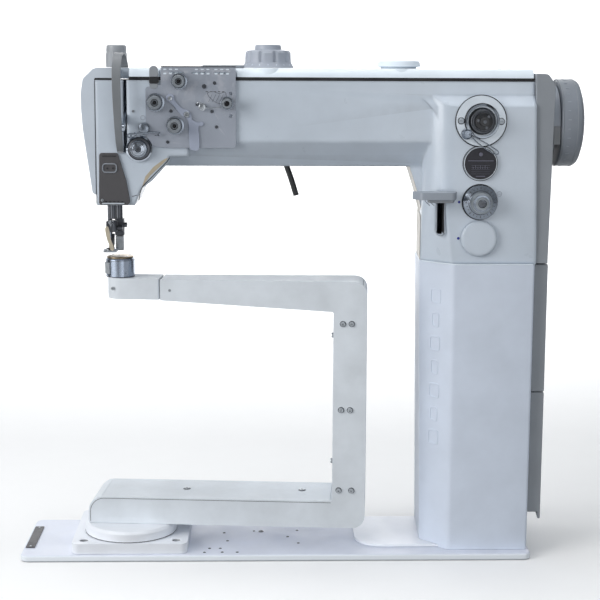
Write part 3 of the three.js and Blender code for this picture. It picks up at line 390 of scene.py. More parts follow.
class Shape:
    """Gathers closed bodies of one material into one mesh."""

    def __init__(self):
        self.bm = bmesh.new()

    def rings(self, rings, closed=False):
        """Skins a row of rings of points. A ring of one point is a tip."""
        made = [[self.bm.verts.new(p) for p in ring] for ring in rings]
        pairs = list(zip(made, made[1:]))
        if closed:
            pairs.append((made[-1], made[0]))
        for a, b in pairs:
            count = max(len(a), len(b))
            for k in range(count):
                corners = [a[k % len(a)], a[(k + 1) % len(a)], b[(k + 1) % len(b)], b[k % len(b)]]
                corners = list(dict.fromkeys(corners))
                if len(corners) > 2:
                    self.bm.faces.new(corners)
        if not closed:
            for end in (made[0], made[-1]):
                if len(end) > 2:
                    self.bm.faces.new(end)
        return self

    def lathe(self, at, axis, profile, sides=32, radius_at=None):
        """Turns (radius, height) pairs about an axis. radius_at(row, angle, radius) may shape a row."""
        u, v, w = (Vector(a) for a in AXES[axis])
        rings = []
        for row, (radius, height) in enumerate(profile):
            if radius < 1e-6:
                rings.append([Vector(at) + w * height])
                continue
            ring = []
            for k in range(sides):
                angle = 2 * pi * k / sides
                r = radius_at(row, angle, radius) if radius_at else radius
                ring.append(Vector(at) + u * r * cos(angle) + v * r * sin(angle) + w * height)
            rings.append(ring)
        return self.rings(rings, closed=profile[0] == profile[-1] and profile[0][0] > 0)

    def ring(self, at, axis, radius, thick, sides=48, round_sides=8):
        """A round ring, such as a groove, lip or wire."""
        turns = [2 * pi * k / round_sides for k in range(round_sides)]
        profile = [(radius + thick * cos(a), thick * sin(a)) for a in turns]
        return self.lathe(at, axis, [*profile, profile[0]], sides)

    def prism(self, outline, axis, start, end):
        """A flat outline, in the axis' own u and v, drawn out along it."""
        u, v, w = (Vector(a) for a in AXES[axis])
        return self.rings([[u * a + v * b + w * h for a, b in outline] for h in (start, end)])

    def box(self, low, high):
        (x0, y0, z0), (x1, y1, z1) = low, high
        return self.prism([(x0, y0), (x1, y0), (x1, y1), (x0, y1)], "z", z0, z1)

    def tube(self, points, radius, sides=8, closed=False):
        points = [Vector(p) for p in points]
        count = len(points)
        turns = [2 * pi * k / sides for k in range(sides)]
        rings = []
        side = None
        for i, p in enumerate(points):
            before = points[i - 1] if closed or i else p
            after = points[(i + 1) % count] if closed or i < count - 1 else p
            along = (after - before).normalized()
            if side is None:
                side = along.orthogonal().normalized()
            side = (side - along * side.dot(along)).normalized()
            other = along.cross(side)
            rings.append([p + (side * cos(a) + other * sin(a)) * radius for a in turns])
        return self.rings(rings, closed)

    def screw(self, at, axis, radius, height=None, socket=True):
        """A head with a hexagonal or slotted recess."""
        height = height or radius * 0.6
        depth = height * 0.35
        recess = radius * 0.5

        def shaped(row, angle, r):
            if row in (1, 2) and socket:
                return r * cos(pi / 6) / cos(angle % (pi / 3) - pi / 6)
            if row in (1, 2):
                across = abs(sin(angle))
                return min(radius * 0.8, radius * 0.14 / max(across, 0.05)) + 0.01
            return r

        profile = [
            (0, depth), (recess, depth), (recess, height), (radius * 0.86, height), (radius, height * 0.7),
            (radius, 0), (0, 0),
        ]
        return self.lathe(at, axis, profile, 24, shaped)

    def done(self, name, slot, material=None, bevel=0.0, stands_for=(), body="machine"):
        """Makes the piece, lets it ride its body and lets it stand for that body's CAD nodes."""
        bm = self.bm
        if body == "lower_arm":
            bm.transform(LOWER_ARM)
        bm.transform(Matrix.Scale(MM, 4))
        bmesh.ops.recalc_face_normals(bm, faces=bm.faces)
        for face in bm.faces:
            face.smooth = True
        for edge in bm.edges:
            edge.smooth = len(edge.link_faces) == 2 and edge.calc_face_angle() < SHARP
        mesh = bpy.data.meshes.new(name)
        bm.to_mesh(mesh)
        bm.free()
        mesh.materials.append(MAT[material or slot])
        piece = new_object(name, mesh)
        if bevel:
            round_edges(piece, bevel, 2)
        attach(piece, body)
        if stands_for:
            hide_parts(*stands_for)
        return piece


def knurl(rows, count, depth):
    """Shapes a lathe's rows with a row of ridges."""
    return lambda row, angle, r: r - depth * (0.5 + 0.5 * cos(count * angle)) if row in rows else r


def rounded(x0, z0, x1, z1, r, steps=5):
    """A rectangle's outline with round corners."""
    points = []
    corners = ((x1 - r, z1 - r), (x0 + r, z1 - r), (x0 + r, z0 + r), (x1 - r, z0 + r))
    for quarter, (cx, cz) in enumerate(corners):
        for k in range(steps + 1):
            angle = radians(90 * quarter + 90 * k / steps)
            points.append((cx + r * cos(angle), cz + r * sin(angle)))
    return points


# ---- base ----
PLATE_TOP = 8
PLATE_HOLES = (
    (125.6, 19.2), (130.2, -9.7), (110.4, -35.8), (122.6, -36), (105.1, -49.3), (125.1, -48.9),
    (142, -49.2), (211.3, 26.9), (199.9, 4.1), (211.8, -18.5),
)


def make_base():
    holes = Shape()
    for x, y in PLATE_HOLES:
        holes.screw((x, y, PLATE_TOP - 0.3), "z", 1.7, 0.7)
    holes.screw((168.8, 23.4, PLATE_TOP - 0.3), "z", 3, 1.2)
    holes.screw((160.5, 25, PLATE_TOP - 0.3), "z", 1.5, 0.8)
    for x in (2, 28):
        holes.screw((x, -51, PLATE_TOP - 0.3), "z", 0.9, 0.5)
    holes.done("plate_screws", "black_plastic", "dark_steel")
    seams = Shape()
    for x in (-35, 32):
        seams.box((x - 0.2, -57.6, PLATE_TOP - 0.2), (x + 0.2, -54.4, PLATE_TOP + 0.06))
    seams.done("plate_seams", "column_paint")
    rivets = Shape()
    for y in (-28, 39):
        rivets.lathe((-93.3, y, 9.1), "z", [(0, 0), (1.3, 0), (1.1, 0.5), (0, 0.75)], 16)
    rivets.done("type_plate_rivets", "steel")
    lines = Shape()
    for k in range(9):
        y = -22 + 7 * k
        lines.box((-96.8, y, 9.1), (-90, y + 1.1, 9.32))
    lines.done("type_plate_bars", "dark_insert", "dark_steel")
    bolts_and_shade = Shape()
    profile = [(0, 0), (4.2, 0), (4.2, 2.6), (3.7, 3), (2.2, 3), (2.2, 1), (0, 1)]
    for x in (-31, 73):
        for y in (-41, 59):
            bolts_and_shade.lathe((x, y, 13.05), "z", profile, 24)
            # A thin black ring lines each counterbore's wall: painted shade inside the hole.
            bolts_and_shade.ring((x, y, 18.6), "z", 4.7, 0.22, 28)
    bolts_and_shade.done("flange_bolts_and_shade", "black_plastic", bevel=0.1)
    # A thin grey ring at the disc's foot: painted shade where the disc meets the flange.
    foot_shade = Shape().ring((0, 0, 20.8), "z", 52.2, 0.4, 72)
    foot_shade.done("turntable_foot_shade", "belt_rubber", "seam_grey", body="lower_arm")


# ---- lower arm, in its own u and v from the turntable's axis ----
RISER_SCREWS = ((243, 267.8), (252.7, 268), (241.7, 170), (251.7, 170), (239.7, 77), (254.1, 77))
COVER_SCREWS = ((62.6, 17.4), (196.3, 20.7))
POST_AT = (-8.1, -0.6)


def make_lower_arm():
    seam = Shape()
    bend = [radians(a) for a in range(180, 89, -10)]
    corner = [(-27.6 + 16 * cos(a), -20.02, 46.1 + 16 * sin(a)) for a in bend]
    seam.tube([(-43.6, -20.02, 35), *corner, (60, -20.02, 62.1), (231, -20.02, 62.1)], 0.28, 6)
    seam.done("front_panel_seam", "black_plastic", "seam_grey", body="lower_arm")
    heads = Shape()
    for u, z in RISER_SCREWS:
        heads.screw((u, -20, z), "-y", 2.9, 2.1)
    for u, v in COVER_SCREWS:
        heads.screw((u, v, 64.1), "z", 3.1, 1.3)
    for z in (251.9, 106.6):
        heads.screw((232.4, -2, z), "-x", 3, 2.6)
    heads.screw((50, -20, 303), "-y", 1.6, 0.6)
    heads.done("lower_arm_screws", "steel", bevel=0.12, body="lower_arm")
    # Grey rings round the cover and riser screw heads: painted shadow around each head.
    shade_rings = Shape()
    for u, v in COVER_SCREWS:
        shade_rings.ring((u, v, 64.15), "z", 3.9, 0.35, 32)
    for u, z in RISER_SCREWS:
        shade_rings.ring((u, -20.1, z), "-y", 3.2, 0.3, 28)
    shade_rings.done("cover_screw_shade_rings", "black_plastic", "seam_grey", body="lower_arm")
    gap = Shape().box((38.2, -15, 293), (39.0, 14, 313.6))
    gap.done("block_gasket", "belt_rubber", body="lower_arm")
    pins = Shape()
    for u, v in ((-17.5, 6.5), (1.5, 7), (1, -9)):
        pins.screw((u, v, 338.95), "z", 1.5, 0.35, socket=False)
    pins.screw((-22.2, -6.2, 326), "-x", 1.7, 1.2, socket=False)
    pins.screw((-14, -17.4, 304), "-y", 2, 0.8)
    pins.done("post_screws", "steel", bevel=0.08, body="lower_arm")
    slot = Shape().prism(rounded(-11, -5.2, -8.6, 2.4, 1.1), "z", 338.98, 339.06)
    slot.prism(rounded(-22.4, -3.6, -12.6, -2.6, 0.4), "z", 338.98, 339.05)
    slot.done("needle_plate_slots", "black_plastic", body="lower_arm")
    band = Shape().ring((*POST_AT, 316.3), "z", 15.9, 0.35, 48)
    band.ring((*POST_AT, 334.6), "z", 15.9, 0.3, 48)
    band.done("post_bands", "chrome", "dark_steel", body="lower_arm")


# ---- column ----
def make_column():
    edge = Shape()
    path = [
        (350.3, 70, 335), (347.1, -6, 335), (351, -13.6, 335), (374.6, -38.2, 335), (383, -43.9, 335),
        (468, -43.9, 335), (470.4, -41, 335), (470.4, 60, 335),
    ]
    # The rolled lip is given the lighter cover paint: a painted highlight along its lit top edge.
    edge.tube(path, 0.75, 8)
    edge.done("column_top_edge", "column_paint", "cover_paint")
    # A ladder of plain embossed marks runs down the folded corner.
    marks = Shape()
    slant = radians(-45.2)
    along, back = cos(slant), sin(slant)
    for k, width in enumerate((15, 11, 15, 11, 15, 11, 15)):
        top = 306 - 27 * k
        outer = rounded(-width / 2, top - 17, width / 2, top, 3.2)
        inner = rounded(-width / 2 + 1.7, top - 15.3, width / 2 - 1.7, top - 1.7, 1.8)
        turned = [[Vector((a * along + 363.5, a * back - 26.7, b)) for a, b in r] for r in (outer, inner)]
        out = Vector((-0.71, -0.704, 0)) * 0.75
        low = [[p - out for p in ring] for ring in turned]
        high = [[p + out * 0.8 for p in ring] for ring in turned]
        marks.rings([low[0], high[0], high[1], low[1]], closed=True)
    marks.done("column_marks", "column_paint", bevel=0.3)
    feet = Shape()
    for x in (368, 462):
        for z in (24, 324):
            feet.screw((x, 71.9, z), "y", 2.6, 1.0)
    feet.done("column_screws", "steel", "column_paint", bevel=0.12)


# ---- upright ----
FACE_Y = -41
WINDER_X, WINDER_Z = 408, 491.8
WINDER_SCREWS = ((385.3, 492), (429, 491.5))
GAUGE_X, GAUGE_Z = 407.5, 446
STITCH_X, STITCH_Z = 408, 403.7


def make_upright():
    grooves = Shape().ring((407.3, FACE_Y - 1.2, 491.8), "-y", 27.9, 0.5, 72)
    grooves.ring((STITCH_X, FACE_Y - 0.4, STITCH_Z), "-y", 19.3, 0.55, 60)
    grooves.ring((GAUGE_X, FACE_Y - 0.2, GAUGE_Z), "-y", 19.0, 0.3, 60)
    grooves.done("dial_outlines", "black_plastic")
    make_winder()
    make_gauge()
    make_stitch_dial()
    dots = Shape()
    for z in (STITCH_Z, 363.7):
        dots.lathe((385.4, FACE_Y, z), "-y", [(0, -0.1), (1.5, -0.1), (1.5, 0.25), (0, 0.4)], 20)
    dots.done("setting_dots", "black_plastic", "dot_blue")
    badge = Shape().ring((429.4, FACE_Y - 0.05, 412.6), "-y", 2.6, 0.28, 28)
    badge.box((427.6, FACE_Y - 0.3, 412.2), (431.2, FACE_Y + 0.1, 412.9))
    badge.done("dial_symbol", "satin_plate")
    make_slot()


def make_winder():
    """A plate with a cup around the spindle, and a lever with a bent wire."""
    screws = Shape()
    for x, z in WINDER_SCREWS:
        screws.screw((x, FACE_Y - 3.3, z), "-y", 3.2, 1.7, socket=False)
    screws.done("winder_screws", "steel", "nut_grey", bevel=0.1)
    # Black rings round the screw heads and the cup: painted shadows.
    shadow_rings = Shape()
    for x, z in WINDER_SCREWS:
        shadow_rings.ring((x, FACE_Y - 3.3, z), "-y", 3.5, 0.4, 28)
    shadow_rings.ring((WINDER_X, FACE_Y - 3.4, WINDER_Z), "-y", 18.9, 0.45, 60)
    shadow_rings.done("winder_shadows", "black_plastic")
    cup = Shape()
    profile = [(16.2, 3.35), (18.6, 3.35), (18.4, 8), (16.4, 8.6), (16.2, 3.35)]
    cup.lathe((WINDER_X, FACE_Y, WINDER_Z), "-y", profile, 48)
    cup.done("winder_cup_wall", "chrome")
    core = Shape()
    base = FACE_Y - 20.6
    profile = [(0, -9), (9.6, -9), (9.2, -1), (7, 0), (5.4, 0.2), (5, 3.4), (0, 3.4)]
    core.lathe((WINDER_X, base, WINDER_Z), "-y", profile, 32)
    core.done("winder_core", "black_plastic", bevel=0.2, body="winder_spindle")
    pins = Shape()
    for k in range(3):
        angle = radians(120 * k + 50)
        at = (WINDER_X + 6.9 * cos(angle), base, WINDER_Z + 6.9 * sin(angle))
        pins.lathe(at, "-y", [(0, -0.4), (1.6, -0.4), (1.6, 0.9), (0, 1.1)], 12)
    pins.ring((WINDER_X, base + 3.2, WINDER_Z), "-y", 11.2, 0.7, 40)
    pins.lathe((WINDER_X, base - 3.2, WINDER_Z), "-y", [(0, 0), (2.2, 0), (2, 0.7), (0, 0.9)], 16)
    pins.done("winder_core_pins", "steel", "dark_steel", body="winder_spindle")
    wire = Shape()
    loop = [
        (394.5, FACE_Y - 9, 476.5), (403, FACE_Y - 11, 468.5), (416, FACE_Y - 11.5, 459.5),
        (423.5, FACE_Y - 11.5, 456.4), (424.6, FACE_Y - 11.5, 459.8), (414, FACE_Y - 11, 467),
        (401, FACE_Y - 9, 474.5), (396.5, FACE_Y - 9, 480),
    ]
    wire.tube(curve(loop, 5), 0.65, 8)
    wire.done("winder_wire", "steel", "disc_grey", body="winder_lever")
    hub = Shape()
    profile = [(0, 0), (6, 0), (6, 3), (4.2, 5.2), (3.8, 8), (0, 8.4)]
    hub.lathe((391.6, FACE_Y - 3.4, 478), "-y", profile, 28)
    hub.tube([(391.6, FACE_Y - 9.5, 478), (395.5, FACE_Y - 10, 476.4)], 2.1, 10)
    hub.screw((391.6, FACE_Y - 11.6, 478), "-y", 2, 0.9, socket=False)
    own = ("winder_lever",)
    hub.done("winder_lever_hub", "steel", "disc_grey", bevel=0.25, stands_for=own, body="winder_lever")


def make_gauge():
    """A dark round window with a sight spot and plain lines behind it."""
    glass = Shape()
    profile = [(0, 3.2), (17, 3.75), (17, 4.0), (9, 4.3), (0, 4.4)]
    glass.lathe((GAUGE_X, FACE_Y, GAUGE_Z), "-y", profile, 48)
    glass.done("gauge_window", "black_plastic", "gauge_glass")
    marks = Shape().box((393.6, FACE_Y - 4.3, 448.6), (421.4, FACE_Y - 3.9, 449.4))
    marks.box((402.4, FACE_Y - 4.4, 431.8), (412.6, FACE_Y - 3.7, 432.6))
    for k in range(7):
        low = (399 + 2.6 * k, FACE_Y - 4.5, 440.2)
        high = (399.5 + 2.6 * k, FACE_Y - 4.1, 442.6 + 1.4 * (k % 2))
        marks.box(low, high)
    marks.lathe((GAUGE_X, FACE_Y - 3.9, 456), "-y", [(0, 0), (2.2, 0), (2, 0.9), (0, 1.1)], 16)
    for k in range(5):
        marks.box((397.5, FACE_Y - 4.1, 443.9 - 2.3 * k), (417.5, FACE_Y - 3.6, 444.1 - 2.3 * k))
    marks.bm.transform(Matrix.Translation((0, -0.45, 0)))
    marks.done("gauge_marks", "chrome", "gauge_ink")
    bezel = Shape().ring((GAUGE_X, FACE_Y - 3.5, GAUGE_Z), "-y", 17.7, 0.5, 60)
    bezel.done("gauge_bezel", "chrome", "pale_plate")


def make_stitch_dial():
    """A ridged knob on the scaled dial."""
    dial = Shape()
    profile = [
        (4, 8.5), (12, 8.9), (12.4, 11), (12.4, 16), (11.2, 17.6), (7.4, 18.2), (7.2, 20.6), (5.9, 21.2),
        (4.1, 21.2), (4, 8.5),
    ]
    dial.lathe((STITCH_X, FACE_Y, STITCH_Z), "-y", profile, 96, knurl((2, 3), 32, 0.5))
    dial.done("stitch_knob_rim", "steel", "nut_grey", bevel=0.1, body="stitch_dial")
    lines = Shape().ring((STITCH_X, FACE_Y - 8.8, STITCH_Z), "-y", 13, 0.5, 60)
    lines.ring((STITCH_X, FACE_Y - 18.0, STITCH_Z), "-y", 8.4, 0.45, 48)
    lines.ring((STITCH_X, FACE_Y - 21.1, STITCH_Z), "-y", 4.3, 0.5, 36)
    lines.done("stitch_dial_lines", "black_plastic", body="stitch_dial")
    nut = Shape().screw((STITCH_X, FACE_Y - 20.9, STITCH_Z), "-y", 3.4, 1.6)
    nut.done("stitch_knob_screw", "dark_plastic", "dark_steel", bevel=0.1, body="stitch_dial")
    ticks = Shape()
    for k in range(24):
        angle = radians(15 * k)
        at = Matrix.Translation((STITCH_X, FACE_Y, STITCH_Z)) @ Matrix.Rotation(angle, 4, "Y")
        reach = 17.2 if k % 3 == 0 else 16
        corners = [(-0.25, 14.4), (0.25, 14.4), (0.25, reach), (-0.25, reach)]
        ticks.rings([[at @ Vector((a, -y, b)) for a, b in corners] for y in (5.2, 8.4 - 0.12 * (k % 2))])
    ticks.done("stitch_dial_ticks", "black_plastic", body="stitch_dial")


def corner_y(x):
    """Depth of the upright's round front corner at x."""
    return -9 - sqrt(max(0, 32**2 - (379.3 - min(x, 379.3)) ** 2))


def make_slot():
    rim = Shape()
    outline = [Vector((a, corner_y(a) + 0.35, b)) for a, b in rounded(361.6, 366.2, 370.6, 414, 4.4)]
    rim.tube(outline, 0.8, 6, closed=True)
    rim.done("slot_lip", "casting_paint")
    # Black sheets on the slot's lit right wall and floor: painted shade, so the slot reads black all the way
    # down.
    shade_sheets = Shape().box((369.3, -37.2, 368.4), (369.75, -12, 407))
    shade_sheets.box((362.5, -30, 367.5), (369.7, -12, 368.2))
    shade_sheets.done("slot_shade_sheets", "belt_rubber")
    wires = Shape()
    for x in (345.5, 350):
        wires.tube([(x, -55, 407.6), (x + 2.4, -52, 404.6), (x + 7, -48, 400.4)], 0.55, 6)
    for x in (354.5, 373):
        wires.lathe((x, -54, 403.4), "z", [(0, 0), (1.5, 0.5), (2.2, 2.2), (1.5, 4.6), (0, 4.6)], 16)
    wires.done("reverse_lever_springs", "steel", body="reverse_lever")
    under = Shape()
    outline = [(350, -64), (376, -64), (379, -52), (374, -48), (354, -48), (349, -54)]
    under.prism(outline, "z", 404.6, 408.2)
    under.done("reverse_lever_block", "dark_plastic", bevel=0.6, body="reverse_lever")


# ---- arm front ----
PLATE_Y = -33.3


def make_tension():
    latch = Shape().prism(rounded(48.4, 524.5, 57.6, 549.4, 4.2), "-y", 30.4, 33.6)
    latch.done("plate_latch", "dark_plastic", bevel=0.5)
    foot = Shape().prism(rounded(48.2, 530.3, 58.6, 537.8, 1.6), "-y", 30.2, 34.4)
    foot.done("plate_latch_foot", "black_plastic", bevel=0.4)
    edge = Shape().box((60.8, PLATE_Y - 0.2, 547.9), (141.4, PLATE_Y + 2.6, 549.2))
    edge.done("plate_top_edge", "black_plastic", "seam_grey")
    dashes = Shape()
    for start in (63.5, 97.5, 118.5):
        for k in range(3):
            x = start + 6.2 * k
            dashes.prism(rounded(x, 545.1, x + 3.4, 546.3, 0.5, 3), "-y", 33.2, 33.45)
            dashes.prism(rounded(x, 540.3, x + 3.4, 542.1, 0.6, 3), "-y", 33.2, 33.4)
    dashes.done("plate_dashes", "satin_plate", "cover_paint")
    lines = Shape()
    route = [
        (113, 516), (111, 520.5), (117, 522), (124, 520), (130, 521.4), (131, 514), (126, 509), (119, 511),
        (113, 516),
    ]
    lines.tube([(p.x, PLATE_Y - 0.02, p.y) for p in curve([(*p, 0) for p in route], 4)], 0.22, 5)
    for k in range(5):
        lines.box((109 + 4.4 * k, PLATE_Y - 0.12, 521.6), (111.6 + 4.4 * k, PLATE_Y + 0.1, 522.3))
    for k in range(4):
        lines.tube([(112 + 4 * k, PLATE_Y - 0.02, 511), (116 + 4 * k, PLATE_Y - 0.02, 519)], 0.16, 5)
    lines.done("plate_diagram", "dark_insert")
    heads = Shape()
    for x, z in ((118.6, 531.2), (71.4, 501), (99.8, 508.4), (115.7, 500.7), (120.6, 484), (67.5, 467.6)):
        heads.screw((x, PLATE_Y - 0.05, z), "-y", 1.7, 0.8, socket=False)
    heads.screw((107.5, PLATE_Y - 0.05, 527.6), "-y", 2.4, 1.4)
    heads.done("plate_screws_small", "steel", "dark_steel", bevel=0.08)
    post = Shape()
    profile = [(0, 0), (4, 0), (4.2, 1.5), (2.6, 2.6), (2.4, 5.4), (3.2, 6), (0, 6.6)]
    post.lathe((105.6, PLATE_Y, 505.6), "-y", profile, 24)
    hook = [(106, -38.6, 505), (112, -38.8, 504.6), (120, -38.4, 504.8), (127, -37.5, 505.2)]
    post.tube(curve(hook, 4), 0.5, 8)
    hook = [(102, -36, 507.5), (99.5, -38.5, 509.5), (103, -39.5, 510.5), (107, -37.5, 508)]
    post.tube(curve(hook, 4), 0.5, 8)
    post.done("thread_post", "steel")
    make_knob("top", 80.5, 533, 8.8)
    make_knob("left", 54.8, 510.3, 9.9)
    make_knob("middle", 75.8, 485.6, 9.8)
    make_knob("right", 132.2, 509.7, 7.1)
    make_main_tension()
    make_release()
    make_check_spring()


def make_knob(name, x, z, r):
    """Two dished discs, a coil spring and a ridged nut on a slotted stud."""
    body = f"tension_knob_{name}"
    at = (x, PLATE_Y, z)
    discs = Shape()
    for start in (2.6, 4.6):
        rim = start + (0.9 if start < 3 else -0.9)
        under = [(2.4, start), (r * 0.55, start), (r, rim)]
        over = [(r, rim + 0.7), (r * 0.5, start + 0.9), (2.4, start + 0.9), (2.4, start)]
        discs.lathe(at, "-y", under + over, 48)
    discs.done(f"{name}_tension_discs", "chrome", "disc_grey", stands_for=(body,), body=body)
    coil = Shape()
    points = []
    for k in range(42):
        turn = k * pi / 6
        y = PLATE_Y - 5.6 - 0.095 * k
        points.append((x + r * 0.54 * cos(turn), y, z + r * 0.54 * sin(turn)))
    coil.tube(points, 0.55, 6)
    coil.done(f"{name}_tension_spring", "steel", body=body)
    nut = Shape()
    profile = [
        (2.2, 9.6), (r * 0.6, 9.6), (r * 0.8, 10.4), (r * 0.8, 17.4), (r * 0.7, 18.6), (r * 0.36, 18.6),
        (r * 0.34, 16.4), (2.2, 16.4), (2.2, 9.6),
    ]
    nut.lathe(at, "-y", profile, 72, knurl((2, 3), 24, r * 0.05))
    nut.done(f"{name}_tension_nut", "satin_plate", "nut_grey", bevel=0.12, body=body)
    stud = Shape().lathe(at, "-y", [(0, 0.2), (1.9, 0.2), (1.9, 17.4), (1.5, 17.8), (0, 17.8)], 20)
    stud.box((x - 0.35, PLATE_Y - 18.6, z - 2), (x + 0.35, PLATE_Y - 17.9, z + 2))
    stud.ring((x, PLATE_Y - 18.5, z), "-y", r * 0.38, 0.35, 32)
    stud.ring((x, PLATE_Y - 10.2, z), "-y", r * 0.8, 0.35, 40)
    stud.done(f"{name}_tension_stud", "steel", "black_steel", body=body)


def make_main_tension():
    at = x, y, z = (36.3, -30.3, 460.4)
    disc = Shape().lathe(at, "-y", [(0, 0.4), (14.3, 0.4), (14.3, 2.2), (12.6, 3), (11.9, 2.2), (0, 2.2)], 64)
    disc.done("main_tension_disc", "chrome", stands_for=("main_tension",), body="main_tension")
    dark = Shape().lathe(at, "-y", [(9.4, 2.3), (11.9, 2.3), (11.6, 3.6), (9.6, 4.2), (9.4, 2.3)], 64)
    dark.done("main_tension_groove", "black_plastic", "dark_steel", body="main_tension")
    knob = Shape()
    profile = [
        (0, 2.3), (9.2, 2.3), (9.4, 4), (9.2, 10.5), (8.4, 11.6), (6.6, 12), (6.2, 14.5), (3.6, 15),
        (3.2, 13.8), (0, 13.8),
    ]
    knob.lathe(at, "-y", profile, 96, knurl((2, 3), 30, 0.45))
    knob.done("main_tension_knob", "chrome", bevel=0.1, body="main_tension")
    rings = Shape().ring((x, y - 11.9, z), "-y", 7.6, 0.35, 48)
    rings.ring((x, y - 14.8, z), "-y", 4.9, 0.25, 40)
    rings.screw((x, y - 13.7, z), "-y", 2.2, 1.8, socket=False)
    rings.done("main_tension_rings", "steel", "dark_steel", body="main_tension")


def make_release():
    lever = Shape()
    outline = [
        (66.4, 513.2), (67, 517.6), (70.4, 519.4), (74.6, 517.8), (75.4, 512.6), (83, 504.5), (90.6, 501.6),
        (93.2, 496.8), (94.6, 491.4), (101, 489), (105.2, 489.6), (106.4, 487.4), (104.8, 485.2),
        (101, 484.2), (102, 472), (101.6, 460.6), (98.4, 458.6), (93.4, 459.2), (91.6, 461.4), (90.6, 474),
        (90.2, 486), (88.8, 492.4), (83.6, 495.4), (78, 502), (72.6, 508.8),
    ]
    lever.prism(smooth_outline(outline, 3), "-y", 33.7, 35.5)
    own = ("release_lever",)
    lever.done("release_lever_arm", "steel", "lever_grey", bevel=0.35, stands_for=own, body="release_lever")
    pin = Shape().screw((88.4, -35.5, 497.4), "-y", 3.4, 1.8)
    pin.lathe((70.6, -35.5, 514.6), "-y", [(0, 0), (2.6, 0), (2.4, 1.1), (1.2, 1.4), (0, 1.4)], 24)
    pin.done("release_lever_pin", "steel", bevel=0.1, body="release_lever")


def make_check_spring():
    at = x, y, z = (42.3, -33.6, 482.3)
    hub = Shape()
    profile = [(0, 0.1), (6.4, 0.1), (6.4, 1.6), (4.8, 2.4), (4.6, 5), (2.6, 5.6), (0, 5.6)]
    hub.lathe(at, "-y", profile, 32)
    for k in range(3):
        hub.ring((x, y - 2.6 - 0.9 * k, z), "-y", 4.9, 0.42, 32)
    hub.done("check_spring_hub", "steel", "disc_grey", stands_for=("check_spring",), body="check_spring")
    wire = Shape()
    route = [
        (59.8, -36.6, 477.6), (54, -37.2, 478.2), (46, -38, 477.9), (34, -38.6, 477), (26, -38.8, 476.2),
        (24.4, -38.6, 474.4), (26.4, -38.4, 472.6), (28.6, -38.4, 474.2), (27.4, -38.4, 476),
    ]
    wire.tube(curve(route, 5), 0.85, 8)
    wire.lathe((31.5, -38.8, 476.7), "x", [(0, 0), (1.7, 0.3), (2, 1.6), (1.7, 2.9), (0, 3.2)], 16)
    wire.box((54, -38.4, 474.6), (58.6, -36.6, 475.6))
    wire.box((57.6, -38.4, 474.6), (58.8, -36.6, 478.4))
    wire.done("check_spring_wire", "chrome", "disc_grey", body="check_spring")


# ---- head ----
def make_head():
    seal = Shape().box((25.6, -30.35, 534.15), (466.4, -27.6, 537.6))
    seal.box((-10.8, -30.2, 533.9), (11.6, -28.6, 536.1))
    seal.done("cover_seal", "belt_rubber")
    pad = Shape()
    outer = [Vector((a, -33.2, b)) for a, b in rounded(-3.4, 434.6, 11.6, 443.8, 3.2)]
    pad.tube(outer, 0.75, 6, closed=True)
    pad.done("insert_pad_rim", "dark_insert", "grey_plastic")
    dots = Shape()
    for x in (1.6, 7.8):
        dots.lathe((x, -33.1, 439), "-y", [(0, -0.1), (1.1, -0.1), (1.1, 0.3), (0, 0.5)], 16)
    dots.box((-3.6, -33.4, 451.6), (11.2, -32.9, 452.8))
    for k in range(6):
        dots.lathe((-4.6 + 4.4 * k, -33.1, 402.2), "-y", [(0, -0.1), (1.3, -0.1), (1.3, 0.3), (0, 0.4)], 14)
    dots.done("insert_dots", "black_plastic")
    line = Shape().tube([(-11.1, -30.1, 533), (-11, -30.1, 400)], 0.35, 6)
    line.done("head_cover_seam", "black_plastic", "seam_grey")
    strip = Shape().tube([(-4.6, -33.4, 400.6), (19.6, -33.4, 400.6)], 0.8, 8)
    strip.done("insert_foot_strip", "chrome", "pale_plate")
    # A warm-tinted strip painted along the head's lower edge.
    warm = Shape()
    outline = [(39, 419), (48, 431), (65.8, 447.6), (67.6, 450.4), (63, 448.8), (51.5, 440.4), (42.5, 430)]
    warm.prism(outline, "-y", 29.9, 30.25)
    warm.done("head_warm_edge", "casting_paint", "warm_edge")
    # A warm-tinted strip painted on the upright's left flank.
    flank = Shape()
    outline = [(350, 385), (343, 413), (334, 440), (333.5, 440), (342.5, 412.8), (349.5, 385)]
    flank.prism(outline, "-y", -37.8, 5.8)
    flank.prism([(347, -8), (351.6, 69), (351.2, 69), (346.6, -8)], "z", 336, 386)
    flank.done("upright_side_skin", "casting_paint", "warm_tint")
    rim = Shape()
    edge = [(35.2, 404), (38.4, 417), (49, 429), (66, 446), (68.8, 450)]
    rim.tube(curve([(x, -30.1, z) for x, z in edge], 4), 0.45, 6)
    rim.tube([(27.8, -30.1, 408), (33.6, -30.1, 409.6)], 0.3, 6)
    rim.done("head_lower_edge", "black_plastic", "black_steel")
    small = Shape()
    for x, z in ((-4.5, 404.2), (30.2, 500.6)):
        small.screw((x, -30.2 if x > 0 else -33.1, z), "-y", 1.5, 0.6)
    small.done("head_screws", "steel")
    badge = Shape().ring((40.6, -30.1, 493.7), "-y", 2.4, 0.25, 28)
    badge.done("head_symbol", "satin_plate")
    make_guard()
    make_take_up()
    make_needle_area()


